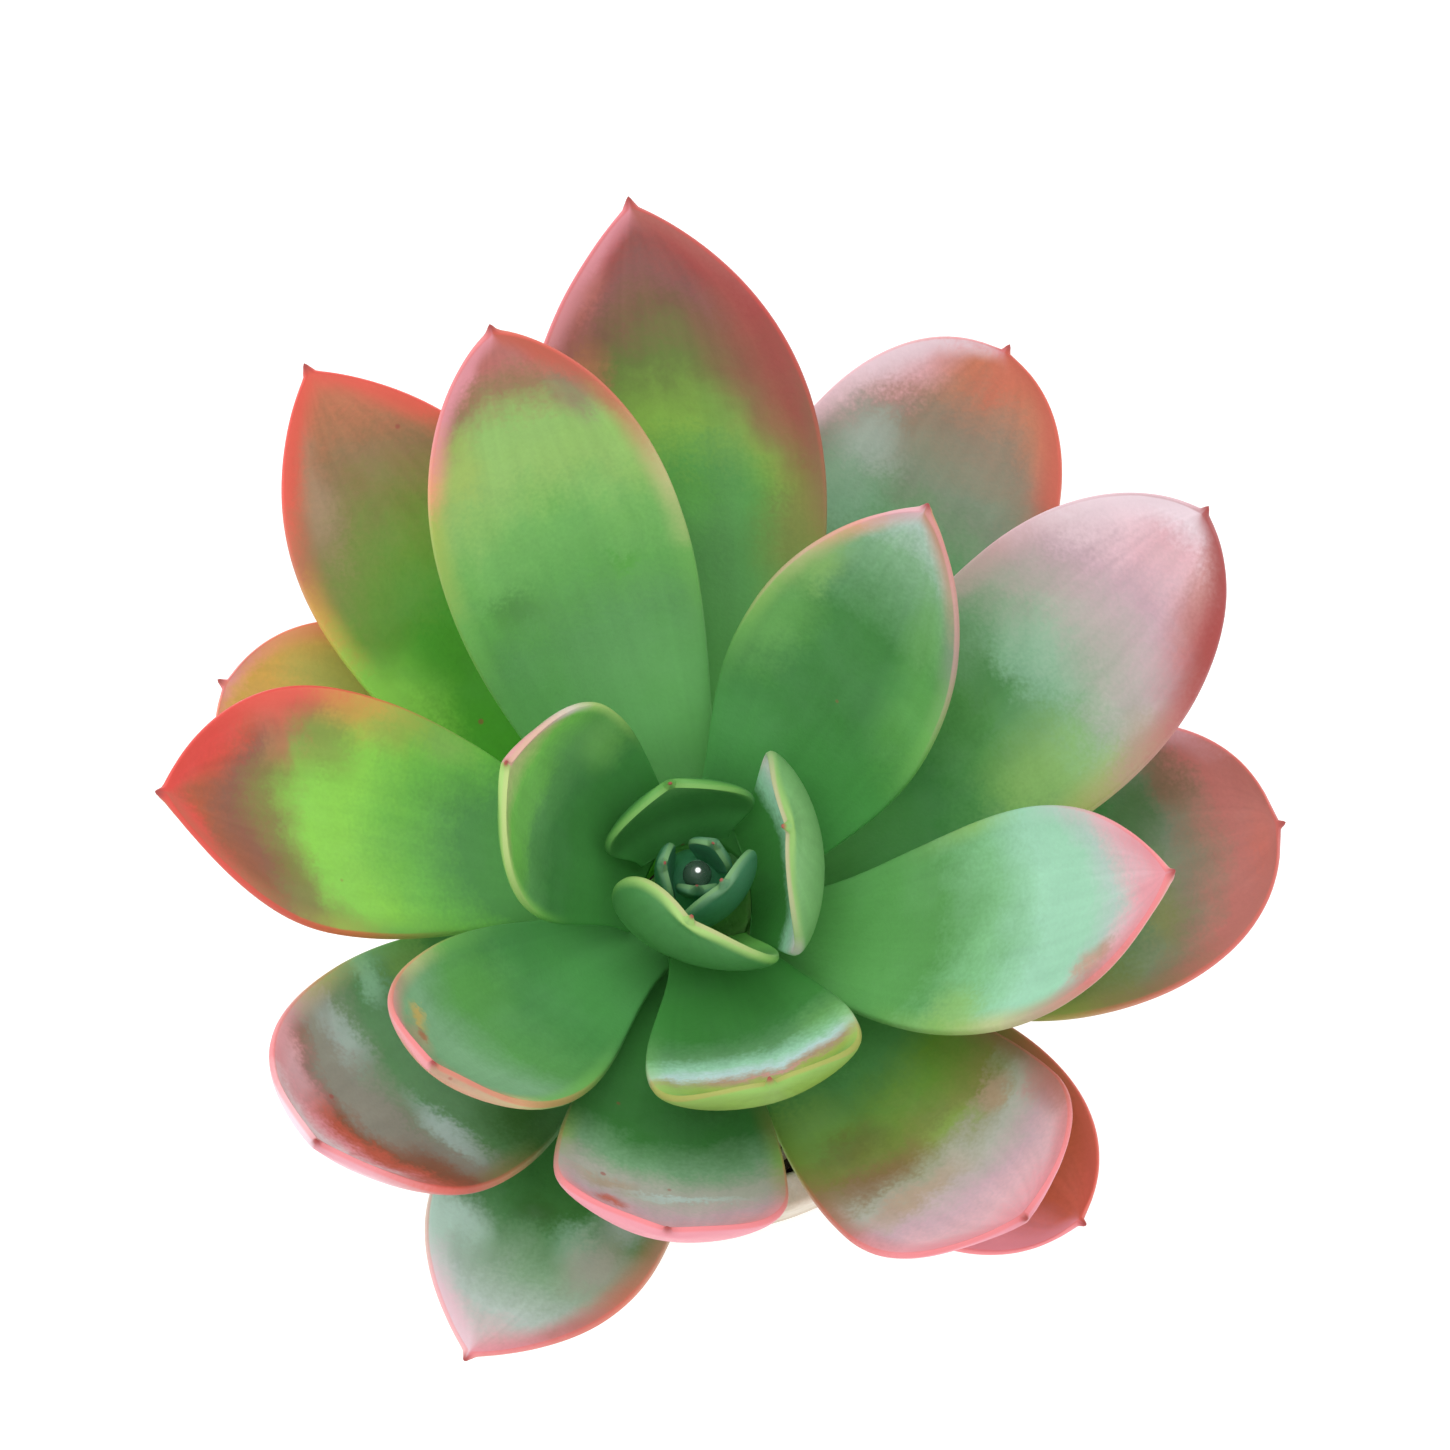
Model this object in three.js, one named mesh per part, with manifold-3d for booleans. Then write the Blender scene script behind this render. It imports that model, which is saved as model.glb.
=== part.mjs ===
// A potted echeveria: a rosette of fleshy leaves on a short stem, rooted in soil in a plain clay pot.
// Millimetres, +Z up. The origin is the middle of the pot's foot, and the rosette's front faces -Y.
import * as THREE from "three";
import { mergeVertices } from "three/addons/utils/BufferGeometryUtils.js";
import Module from "manifold-3d";

const wasm = await Module();
wasm.setup();

// Pot and soil
const POT_HEIGHT = 62;
const FOOT_RADIUS = 24;
const RIM_RADIUS = 36;
const BAND_HEIGHT = 15;
const BAND_TAPER = 1.2;
const BAND_STEP = 2.2;
const POT_WALL = 3.6;
const POT_FLOOR = 5;
const EDGE_ROUND = 0.9;
const EDGE_STEPS = 3;
const DRAIN_HOLES = 3;
const DRAIN_RADIUS = 2.8;
const DRAIN_CIRCLE = 12;
const DRAIN_SIDES = 28;
const DRAIN_CUTTER = 15;
const SOIL_BELOW_RIM = 6;
const SOIL_DOME = 2.4;
const SOIL_RINGS = 5;
const SEAT_GAP = 0.3;
const POT_SIDES = 64;
const MERGE_WITHIN = 1e-3;

// Stem
const STEM_RADIUS = 7.6;
const STEM_TIP_RADIUS = 1.6;
const ROOT_RADIUS = 5;
const ROOT_FOOT = 32;
const ROSETTE_FOOT = 62;
const ROSETTE_RISE = 25;
const HEART_FOOT = 83;
const DOME_RINGS = 7;
const STEM_SIDES = 28;

// Leaves
const SPIRAL_START = 325;
const SPIRAL_TURN = -137.5;
const LEAF_SIDES = 16;
const STATIONS = [0, 0.08, 0.17, 0.27, 0.37, 0.47, 0.57, 0.67, 0.76, 0.84, 0.9, 0.945, 0.978];
const MIDRIB_STEPS = 200;
const PLAIN_LEAF = { curl: 14, lip: 0, sway: 0, twist: 0, base: 0.36, widest: 0.62, tip: 0.5 };
const CURL_POWER = 1.6;
const LIP_POWER = 6;
const BASE_CUP_SHARE = 0.7;
const BASE_TAPER = 1.5;
const SHOULDER_POWER = 2.2;
const OUTER_THICK = 4.2;
const INNER_THICK = 1.3;
const THICKEST = 0.43;
const THIN_SHARE = 0.5;
const NOSE_LENGTH = 0.2;
const FACE_SHARE = 0.25;
const MARGIN_ROUND = 0.6;
const POINT_LENGTH = 1.4;
const POINT_RADIUS = 0.6;
const HEART_SINK = 1.4;
const BLUSHED_LEAVES = 12;

// Every leaf from the outermost in, with what differs from a plain leaf. In degrees: drift is how far it strays
// round from its place in the spiral, rise its slope where it leaves the stem, curl how much steeper it is by the
// tip, lip how much more it turns up in the last stretch, cup how far each edge turns up, sway how far it bends
// sideways and twist how far its blade rolls by the tip. As shares: base is its width at the stem, and widest the
// place of its full width. tip is 0.5 for a round end and 1 for a pointed one.
const LEAVES = [
  { drift: -6, length: 54, width: 28, rise: 12, cup: 20 },
  { drift: -32, length: 58, width: 33.5, rise: 12.5, cup: 20 },
  { drift: 13.6, length: 72.5, width: 36, rise: 15, cup: 20, sway: -7.5, tip: 0.48 },
  { drift: -26, length: 57, width: 28, rise: 15, cup: 20, sway: -4, tip: 0.85 },
  { drift: -3.4, length: 75, width: 30.4, rise: 19, cup: 22, sway: -9, tip: 0.85 },
  { drift: 2.5, length: 65.5, width: 35, rise: 18, cup: 22, sway: 10, tip: 0.44 },
  { drift: -9, length: 59, width: 33, rise: 22, curl: 18, lip: 52, cup: 28, sway: 21 },
  { drift: 7.5, length: 80, width: 36, rise: 26, cup: 24, sway: 14, widest: 0.58, tip: 0.85 },
  { drift: 5, length: 60, width: 30.5, rise: 27, curl: 16, lip: 20, cup: 24, widest: 0.74 },
  { drift: -1.2, length: 65, width: 29.5, rise: 30, cup: 24, sway: 23, base: 0.3, widest: 0.66, tip: 0.82 },
  { drift: -8, length: 75, width: 32, rise: 32, cup: 24, sway: 22, tip: 0.56 },
  { drift: 9.5, length: 52, width: 27, rise: 28, curl: 20, lip: 52, cup: 28, sway: 12, twist: -13, widest: 0.74 },
  { drift: 0, length: 71, width: 29.5, rise: 38, cup: 26, sway: -5, base: 0.5, widest: 0.58, tip: 0.65 },
  { drift: 0, length: 63, width: 27, rise: 36, curl: 18, cup: 28, sway: 36, twist: -15, base: 0.3, tip: 0.75 },
  { drift: 18, length: 49, width: 25, rise: 34, curl: 20, lip: 44, cup: 28, sway: 16 },
  { drift: -13, length: 56, width: 27, rise: 45, cup: 28, sway: 9, base: 0.52, widest: 0.5, tip: 0.75 },
  { drift: 1, length: 40, width: 25, rise: 37, curl: 25, lip: 56, cup: 26, base: 0.44 },
  { drift: 9, length: 35.5, width: 26, rise: 53, curl: 28, cup: 33, sway: 17, twist: -15, base: 0.6, widest: 0.57 },
  { drift: -2, length: 27, width: 24.5, rise: 54, curl: 76, cup: 34, base: 0.6, widest: 0.55 },
  { drift: 33, length: 22, width: 21.5, rise: 68, curl: 44, cup: 40, sway: -36, base: 0.6, widest: 0.55 },
  { drift: 14, length: 14.5, width: 19, rise: 66, curl: 26, cup: 40, base: 0.6, widest: 0.55 },
];
const HEART_LEAVES = [
  { drift: -2, length: 14, width: 13, rise: 74, curl: 36, cup: 42, base: 0.6, widest: 0.55, tip: 0.6 },
  { drift: 0, length: 10, width: 7, rise: 78, curl: 20, cup: 40, tip: 0.7 },
  { drift: 12, length: 8, width: 6, rise: 76, curl: 20, cup: 40, tip: 0.7 },
  { drift: 5, length: 5.5, width: 5, rise: 76, curl: 20, cup: 40, tip: 0.7 },
];

function material(name, color, roughness) {
  return new THREE.MeshStandardMaterial({ name, color, roughness, metalness: 0 });
}

const clay = material("clay", 0xe3dccd, 0.85);
const earth = material("earth", 0x3a2a1e, 1);
const bark = material("bark", 0x8f8a62, 0.85);
const greenLeaf = material("green_leaf", 0x5a9a50, 0.5);
const blushLeaf = material("blush_leaf", 0xa98468, 0.5);

const radians = THREE.MathUtils.degToRad;
const lerp = THREE.MathUtils.lerp;

// A closed mesh as a solid that can be cut and joined.
function solidFrom(geometry) {
  const bare = geometry.index ? geometry.toNonIndexed() : geometry.clone();
  bare.deleteAttribute("normal");
  bare.deleteAttribute("uv");
  const merged = mergeVertices(bare, MERGE_WITHIN);
  const vertProperties = merged.attributes.position.array;
  const triVerts = new Uint32Array(merged.index.array);
  return new wasm.Manifold(new wasm.Mesh({ numProp: 3, vertProperties, triVerts }));
}

function geometryFrom(solid) {
  const { vertProperties, triVerts } = solid.getMesh();
  const geometry = new THREE.BufferGeometry();
  geometry.setAttribute("position", new THREE.BufferAttribute(vertProperties, 3));
  return geometry.setIndex(new THREE.BufferAttribute(triVerts, 1));
}

// A turned body about +Z from [radius, height] points, which start and end on the axis.
function turned(points, sides) {
  const profile = points.map(([radius, height]) => new THREE.Vector2(radius, height));
  return new THREE.LatheGeometry(profile, sides).rotateX(Math.PI / 2);
}

// The stem's radius at a height: a full stalk below the rosette, closing over its top like a dome.
function stemRadius(height) {
  const share = THREE.MathUtils.clamp((height - ROSETTE_FOOT) / ROSETTE_RISE, 0, 1);
  return lerp(STEM_TIP_RADIUS, STEM_RADIUS, Math.sqrt(1 - share ** 2));
}

// Half the blade's width, as a share of the widest, from the stem at 0 to the blade's end at 1.
function bladeShare(along, leaf) {
  if (along < leaf.widest) {
    return lerp(leaf.base, 1, Math.sin(Math.PI / 2 * along / leaf.widest) ** BASE_TAPER);
  }
  const past = (along - leaf.widest) / (1 - leaf.widest);
  return (1 - past ** SHOULDER_POWER) ** leaf.tip;
}

// The leaf's midrib from the stem out, as evenly spaced frames: place, side and the upper face's normal.
function midrib(leaf, azimuth, foot) {
  const frames = [];
  const place = foot.clone();
  for (let i = 0; i <= MIDRIB_STEPS; i++) {
    const along = i / MIDRIB_STEPS;
    const pitch = radians(leaf.rise + leaf.curl * along ** CURL_POWER + leaf.lip * along ** LIP_POWER);
    const heading = azimuth + radians(leaf.sway) * along;
    const tangent = new THREE.Vector3(
      Math.cos(pitch) * Math.cos(heading),
      Math.cos(pitch) * Math.sin(heading),
      Math.sin(pitch),
    );
    const roll = radians(leaf.twist) * along;
    const side = new THREE.Vector3(-Math.sin(heading), Math.cos(heading), 0).applyAxisAngle(tangent, roll);
    const normal = new THREE.Vector3().crossVectors(tangent, side);
    frames.push({ place: place.clone(), side, normal });
    place.addScaledVector(tangent, leaf.length / MIDRIB_STEPS);
  }
  return frames;
}

// One ring of points round the midrib: a fleshy section, fuller underneath, bent up in an arc to both edges.
function leafRing(leaf, along, { place, side, normal }) {
  const bladeEnd = 1 - POINT_LENGTH / leaf.length;
  const blade = bladeShare(Math.min(along / bladeEnd, 1), leaf) * leaf.width / 2;
  const point = POINT_RADIUS * Math.min(1, (1 - along) * leaf.length / POINT_LENGTH);
  const half = Math.max(blade, point);
  const nose = Math.sqrt(1 - Math.max(0, 1 - (1 - along) / NOSE_LENGTH) ** 2);
  const fullness = Math.max(0, Math.cos(Math.PI * (along - THICKEST)));
  const thick = Math.max(leaf.thick * lerp(THIN_SHARE, 1, fullness) * nose, 2 * point);
  const bend = radians(leaf.cup) * lerp(BASE_CUP_SHARE, 1, along);
  const ring = [];
  for (let i = 0; i < LEAF_SIDES; i++) {
    const turn = 2 * Math.PI * i / LEAF_SIDES;
    const lift = Math.sin(turn);
    const share = lift > 0 ? FACE_SHARE : 1 - FACE_SHARE;
    const offset = Math.sign(lift) * thick * share * Math.abs(lift) ** MARGIN_ROUND;
    const angle = bend * Math.cos(turn);
    const sideways = half / bend * Math.sin(angle) - offset * Math.sin(angle);
    const upwards = half / bend * (1 - Math.cos(angle)) + offset * Math.cos(angle);
    ring.push(place.clone().addScaledVector(side, sideways).addScaledVector(normal, upwards));
  }
  return ring;
}

// One leaf as a closed mesh: its rings joined from the stem out, capped there and drawn to a point.
function leafGeometry(leaf, azimuth, foot) {
  const frames = midrib(leaf, azimuth, foot);
  const points = STATIONS.flatMap((along) => leafRing(leaf, along, frames[Math.round(along * MIDRIB_STEPS)]));
  const last = points.length - LEAF_SIDES;
  const tip = points.push(frames[MIDRIB_STEPS].place) - 1;
  const root = points.push(frames[0].place) - 1;
  const triangles = [];
  for (let i = 0; i < LEAF_SIDES; i++) {
    const next = (i + 1) % LEAF_SIDES;
    for (let ring = 0; ring < last; ring += LEAF_SIDES) {
      const a = ring + i;
      const b = ring + next;
      triangles.push(a, b, a + LEAF_SIDES, b, b + LEAF_SIDES, a + LEAF_SIDES);
    }
    triangles.push(last + i, last + next, tip);
    triangles.push(i, root, next);
  }
  return new THREE.BufferGeometry().setFromPoints(points).setIndex(triangles);
}

// Where leaf number `order` leaves the stem: further up and round the spiral for each one inwards.
function leafAt(leaf, order, count, outset) {
  const azimuth = radians(SPIRAL_START + SPIRAL_TURN * order + leaf.drift);
  const height = ROSETTE_FOOT + (order + 0.5) * ROSETTE_RISE / count;
  const radius = stemRadius(height) + outset;
  const foot = new THREE.Vector3(radius * Math.cos(azimuth), radius * Math.sin(azimuth), height);
  return leafGeometry(leaf, azimuth, foot);
}

// The [radius, height] points of the growing tip's dome between two heights.
function domePoints(low, high) {
  const points = [];
  for (let i = 0; i <= DOME_RINGS; i++) {
    const height = lerp(low, high, i / DOME_RINGS);
    points.push([stemRadius(height), height]);
  }
  return points;
}

// The pot's outside and inside radius at a height, leaving out its rim band.
function potOutside(height) {
  return lerp(FOOT_RADIUS, RIM_RADIUS - BAND_TAPER - BAND_STEP, height / (POT_HEIGHT - BAND_HEIGHT));
}

function potInside(height) {
  return potOutside(height) - POT_WALL;
}

// The points that round off a corner of the pot's profile, from its level face to its wall. outward and
// upward, each 1 or -1, say which way the clay's corner points from the axis and where the wall goes from it.
function roundedEdge(radius, height, outward, upward) {
  const points = [];
  for (let i = 0; i <= EDGE_STEPS; i++) {
    const angle = Math.PI / 2 * i / EDGE_STEPS;
    points.push([
      radius - outward * EDGE_ROUND * (1 - Math.sin(angle)),
      height + upward * EDGE_ROUND * (1 - Math.cos(angle)),
    ]);
  }
  return points;
}

// The pot: a tapering wall under a thicker rim band, with rounded edges and drainage holes in its floor.
function potGeometry() {
  const bandFoot = POT_HEIGHT - BAND_HEIGHT;
  const profile = [
    [0, 0],
    ...roundedEdge(FOOT_RADIUS, 0, 1, 1),
    [potOutside(bandFoot), bandFoot],
    ...roundedEdge(RIM_RADIUS - BAND_TAPER, bandFoot, 1, 1),
    ...roundedEdge(RIM_RADIUS, POT_HEIGHT, 1, -1).reverse(),
    ...roundedEdge(potInside(POT_HEIGHT), POT_HEIGHT, -1, -1),
    [potInside(POT_FLOOR), POT_FLOOR],
    [0, POT_FLOOR],
  ];
  let pot = solidFrom(turned(profile, POT_SIDES));
  for (let i = 0; i < DRAIN_HOLES; i++) {
    const angle = 2 * Math.PI * i / DRAIN_HOLES;
    const hole = new THREE.CylinderGeometry(DRAIN_RADIUS, DRAIN_RADIUS, DRAIN_CUTTER, DRAIN_SIDES);
    hole.rotateX(Math.PI / 2);
    hole.translate(DRAIN_CIRCLE * Math.cos(angle), DRAIN_CIRCLE * Math.sin(angle), 0);
    pot = pot.subtract(solidFrom(hole));
  }
  return geometryFrom(pot);
}

// The soil: it fills the pot to a low dome below the rim, with a plain hole for the root.
function soilGeometry() {
  const edge = POT_HEIGHT - SOIL_BELOW_RIM;
  const edgeRadius = potInside(edge) - SEAT_GAP;
  const holeRadius = STEM_RADIUS + SEAT_GAP;
  const foot = POT_FLOOR + SEAT_GAP;
  const profile = [[0, foot], [potInside(foot) - SEAT_GAP, foot]];
  for (let i = 0; i <= SOIL_RINGS; i++) {
    const share = i / SOIL_RINGS;
    profile.push([lerp(edgeRadius, holeRadius, share), edge + SOIL_DOME * Math.sin(Math.PI / 2 * share)]);
  }
  profile.push([ROOT_RADIUS + SEAT_GAP, ROOT_FOOT - SEAT_GAP], [0, ROOT_FOOT - SEAT_GAP]);
  return turned(profile, POT_SIDES);
}

// The stem: a root that narrows into the soil, a short stalk, and the dome the leaves stand round.
function stemGeometry() {
  const soilTop = POT_HEIGHT - SOIL_BELOW_RIM + SOIL_DOME;
  const dome = domePoints(ROSETTE_FOOT, HEART_FOOT - SEAT_GAP);
  const top = dome[dome.length - 1][1];
  const profile = [[0, ROOT_FOOT], [ROOT_RADIUS, ROOT_FOOT], [STEM_RADIUS, soilTop], ...dome, [0, top]];
  return turned(profile, STEM_SIDES);
}

// The heart: the youngest leaves, joined by the top of the dome they grow from.
function heartGeometry(leaves, firstOrder, count) {
  const dome = domePoints(HEART_FOOT, ROSETTE_FOOT + ROSETTE_RISE);
  const top = dome[dome.length - 1][1];
  let heart = solidFrom(turned([[0, HEART_FOOT], ...dome, [0, top]], STEM_SIDES));
  leaves.forEach((leaf, i) => {
    heart = heart.add(solidFrom(leafAt(leaf, firstOrder + i, count, -HEART_SINK)));
  });
  return geometryFrom(heart);
}

const plant = new THREE.Group();

function addPiece(name, geometry, look) {
  const piece = new THREE.Mesh(geometry, look);
  piece.name = name;
  plant.add(piece);
}

const everyLeaf = [...LEAVES, ...HEART_LEAVES].map((leaf, order, all) => {
  const thick = lerp(OUTER_THICK, INNER_THICK, (order / (all.length - 1)) ** 2);
  return { ...PLAIN_LEAF, thick, ...leaf };
});

addPiece("pot", potGeometry(), clay);
addPiece("soil", soilGeometry(), earth);
addPiece("stem", stemGeometry(), bark);
everyLeaf.slice(0, LEAVES.length).forEach((leaf, order) => {
  const outset = SEAT_GAP + leaf.thick * FACE_SHARE * Math.sin(radians(leaf.rise));
  const look = order < BLUSHED_LEAVES ? blushLeaf : greenLeaf;
  addPiece(`leaf_${String(order + 1).padStart(2, "0")}`, leafAt(leaf, order, everyLeaf.length, outset), look);
});
addPiece("heart", heartGeometry(everyLeaf.slice(LEAVES.length), LEAVES.length, everyLeaf.length), greenLeaf);

export default plant;
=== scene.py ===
"""A potted echeveria: waxy painted leaves, a stem, gritty soil and a pale clay pot in soft daylight."""

import math

import bpy
import numpy as np
from mathutils import Matrix, Vector


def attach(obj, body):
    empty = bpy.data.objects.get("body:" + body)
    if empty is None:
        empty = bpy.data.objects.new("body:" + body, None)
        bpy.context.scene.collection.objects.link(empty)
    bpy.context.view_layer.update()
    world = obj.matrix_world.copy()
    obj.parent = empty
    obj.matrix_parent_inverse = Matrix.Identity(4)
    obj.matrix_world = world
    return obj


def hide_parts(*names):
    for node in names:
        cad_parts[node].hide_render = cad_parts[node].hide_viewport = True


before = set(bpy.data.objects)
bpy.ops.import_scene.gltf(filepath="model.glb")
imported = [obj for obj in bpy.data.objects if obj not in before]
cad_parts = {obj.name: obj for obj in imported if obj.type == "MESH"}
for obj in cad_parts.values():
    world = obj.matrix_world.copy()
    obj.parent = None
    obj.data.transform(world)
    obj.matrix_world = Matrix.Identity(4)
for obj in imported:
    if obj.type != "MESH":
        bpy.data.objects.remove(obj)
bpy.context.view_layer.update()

MM = 0.001

# Pot and soil, in millimetres, as the solids have them
POT_HEIGHT = 62
FOOT_RADIUS = 24
RIM_RADIUS = 36
BAND_HEIGHT = 15
BAND_TAPER = 1.2
BAND_STEP = 2.2
POT_WALL = 3.6
POT_FLOOR = 5
EDGE_ROUND = 0.9
EDGE_STEPS = 6
DRAIN_HOLES = 3
DRAIN_RADIUS = 2.8
DRAIN_CIRCLE = 12
DRAIN_CUTTER = 15
DRAIN_SIDES = 48
SOIL_BELOW_RIM = 6
SOIL_EDGE = POT_HEIGHT - SOIL_BELOW_RIM
SOIL_DOME = 2.4
SEAT_GAP = 0.3
POT_SIDES = 144

# Stem, in millimetres
STEM_RADIUS = 7.6
STEM_TIP_RADIUS = 1.6
ROOT_RADIUS = 5
ROOT_FOOT = 32
ROSETTE_FOOT = 62
ROSETTE_RISE = 25
HEART_FOOT = 83
DOME_RINGS = 24
STEM_SIDES = 72

# Leaves: lengths in millimetres, angles in degrees
SPIRAL_START = 325
SPIRAL_TURN = -137.5
LEAF_SIDES = 56
MIDRIB_STEPS = 200
ROW_STEP = 2
FINE_ROWS = 16
CURL_POWER = 1.6
LIP_POWER = 6
BASE_CUP_SHARE = 0.7
BASE_TAPER = 1.5
SHOULDER_POWER = 2.2
OUTER_THICK = 4.2
INNER_THICK = 1.3
THICKEST = 0.43
THIN_SHARE = 0.5
NOSE_LENGTH = 0.2
FACE_SHARE = 0.25
MARGIN_ROUND = 0.6
POINT_LENGTH = 1.2
POINT_RADIUS = 0.6
POINT_BLEND = 0.8
HEART_SINK = 1.4
RIPPLE_HEIGHT = 0.35
RIPPLE_SIZE = 16
RIPPLE_START = (0.1, 0.5)
RIPPLE_END = (1.0, 0.9)
SLOPE_STEPS = 1.5
WELD = 0.002

# Every leaf from the outermost in, with what differs from a plain leaf, as the solids have them
PLAIN_LEAF = dict(curl=14, lip=0, sway=0, twist=0, base=0.36, widest=0.62, tip=0.5)
LEAVES = [
    dict(drift=-6, length=54, width=28, rise=12, cup=20),
    dict(drift=-32, length=58, width=33.5, rise=12.5, cup=20),
    dict(drift=13.6, length=72.5, width=36, rise=15, cup=20, sway=-7.5, tip=0.48),
    dict(drift=-26, length=57, width=28, rise=15, cup=20, sway=-4, tip=0.85),
    dict(drift=-3.4, length=75, width=30.4, rise=19, cup=22, sway=-9, tip=0.85),
    dict(drift=2.5, length=65.5, width=35, rise=18, cup=22, sway=10, tip=0.44),
    dict(drift=-9, length=59, width=33, rise=22, curl=18, lip=52, cup=28, sway=21),
    dict(drift=7.5, length=80, width=36, rise=26, cup=24, sway=14, widest=0.58, tip=0.85),
    dict(drift=5, length=60, width=30.5, rise=27, curl=16, lip=20, cup=24, widest=0.74),
    dict(drift=-1.2, length=65, width=29.5, rise=30, cup=24, sway=23, base=0.3, widest=0.66, tip=0.82),
    dict(drift=-8, length=75, width=32, rise=32, cup=24, sway=22, tip=0.56),
    dict(drift=9.5, length=52, width=27, rise=28, curl=20, lip=52, cup=28, sway=12, twist=-13, widest=0.74),
    dict(drift=0, length=71, width=29.5, rise=38, cup=26, sway=-5, base=0.5, widest=0.58, tip=0.65),
    dict(drift=0, length=63, width=27, rise=36, curl=18, cup=28, sway=36, twist=-15, base=0.3, tip=0.75),
    dict(drift=18, length=49, width=25, rise=34, curl=20, lip=44, cup=28, sway=16),
    dict(drift=-13, length=56, width=27, rise=45, cup=28, sway=9, base=0.52, widest=0.5, tip=0.75),
    dict(drift=1, length=40, width=25, rise=37, curl=25, lip=56, cup=26, base=0.44),
    dict(drift=9, length=35.5, width=26, rise=53, curl=28, cup=33, sway=17, twist=-15, base=0.6, widest=0.57),
    dict(drift=-2, length=27, width=24.5, rise=54, curl=76, cup=34, base=0.6, widest=0.55),
    dict(drift=33, length=22, width=21.5, rise=68, curl=44, cup=40, sway=-36, base=0.6, widest=0.55),
    dict(drift=14, length=14.5, width=19, rise=66, curl=26, cup=40, base=0.6, widest=0.55),
]
HEART_LEAVES = [
    dict(drift=-2, length=14, width=13, rise=74, curl=36, cup=42, base=0.6, widest=0.55, tip=0.6),
    dict(drift=0, length=10, width=7, rise=78, curl=20, cup=40, tip=0.7),
    dict(drift=12, length=8, width=6, rise=76, curl=20, cup=40, tip=0.7),
    dict(drift=5, length=5.5, width=5, rise=76, curl=20, cup=40, tip=0.7),
]
PIECES_IN_SPIRAL = len(LEAVES) + len(HEART_LEAVES)
BLUSHED_LEAVES = 12

# Camera: the photograph looks down on the heart, which lies at this pixel of its square frame
PHOTO_PIXELS = 1450
HEART_PIXEL = (697, 868)
HEART_POINT = Vector((0, 0, 92))
CAMERA_RISE = 73
CAMERA_AWAY = 450
MM_PER_PIXEL = 0.115
SENSOR_WIDTH = 36
CAMERA_NEAR = 0.01

# Screen colours of the skin, the pot and the soil
SHADES = dict(
    # The shade green on the next line is partly the leaves' own dark green and partly painted shade, where
    # one leaf lies under another
    forest="42853f", dark_green_and_painted_shade="356a22", fern="4c8f4b", mid_green="5c9b54", vivid_green="4ea02c",
    meadow="729c3a", fresh_green="62a84e", leaf_green="76b65b", soft_green="84c08a", grass="8ab54c",
    light_green="96c167", spring_green="b6dc80", bright_green="7ac455", lime="94d755", teal="4f9a74",
    deep_teal="3a8058", drop_grey="86a592", sea_green="649a66", jade="80ad84", sage="83917a", mint="a2d6b8",
    # The lip's pale blue-white on the next line is its own pale wax together with a painted reflection of the
    # bright surroundings
    pale_mint="bfe6d4", frost="b6cbc2", pale_lip_and_reflection="c6e0e2", yellow_green="a9bb58", straw="c6c388",
    moss="6f8240", olive="8b8a4a", amber="dcab56", apricot="f0a37e", umber="9a7a56", cocoa="806248",
    tan="b8977e", stone="98978d", brown="94604c", mauve="8f5a55", taupe="94806c", ash="b5b4aa",
    rust="b65c3e", copper="c67a5c", terracotta="cb6452", salmon="f06658", dusty_red="bd7069", rose="eb9aa6",
    pink="e4b2bc", lilac="cda9b5", blossom="f2dae4", peach="dca88a", red="e24c44", wine="a84a47",
    clay="e2d9ca", clay_shadow="cbbca6", lime_bloom="f0ece3", loam="4a3a2c", humus="2f251d",
    pumice="ddd7ca", pumice_shadow="b3a895", husk="8f8259", husk_shadow="5d5238", white="ffffff",
)

# How each leaf is painted. run is its shades from the stem to the tip, each with its place along the leaf,
# and tongue is how much earlier they come at the margins. rim is the same for the soft band along the
# margin, with another for the clockwise margin where that differs. under is the shade of the lower side,
# which comes in from under_from on, and line is the thin edge. A wash is a soft oval patch: its shade, its
# place along and across the leaf, its reach both ways and its strength. Across runs from -1 to 1
# anticlockwise.
# Some runs start lighter near the stem than the skin is: painted light against the shade deep in the rosette.
PLAIN_PAINT = dict(
    tongue=0.06,
    under="light_green",
    under_from=0.3,
    rim=[("light_green", 0.5), ("peach", 0.85)],
    clockwise_rim=None,
    rim_strength=0.8,
    rim_width=1,
    line="salmon",
    line_strength=0.4,
    line_from=0.6,
    bloom=0.03,
    washes=[],
)
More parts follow.
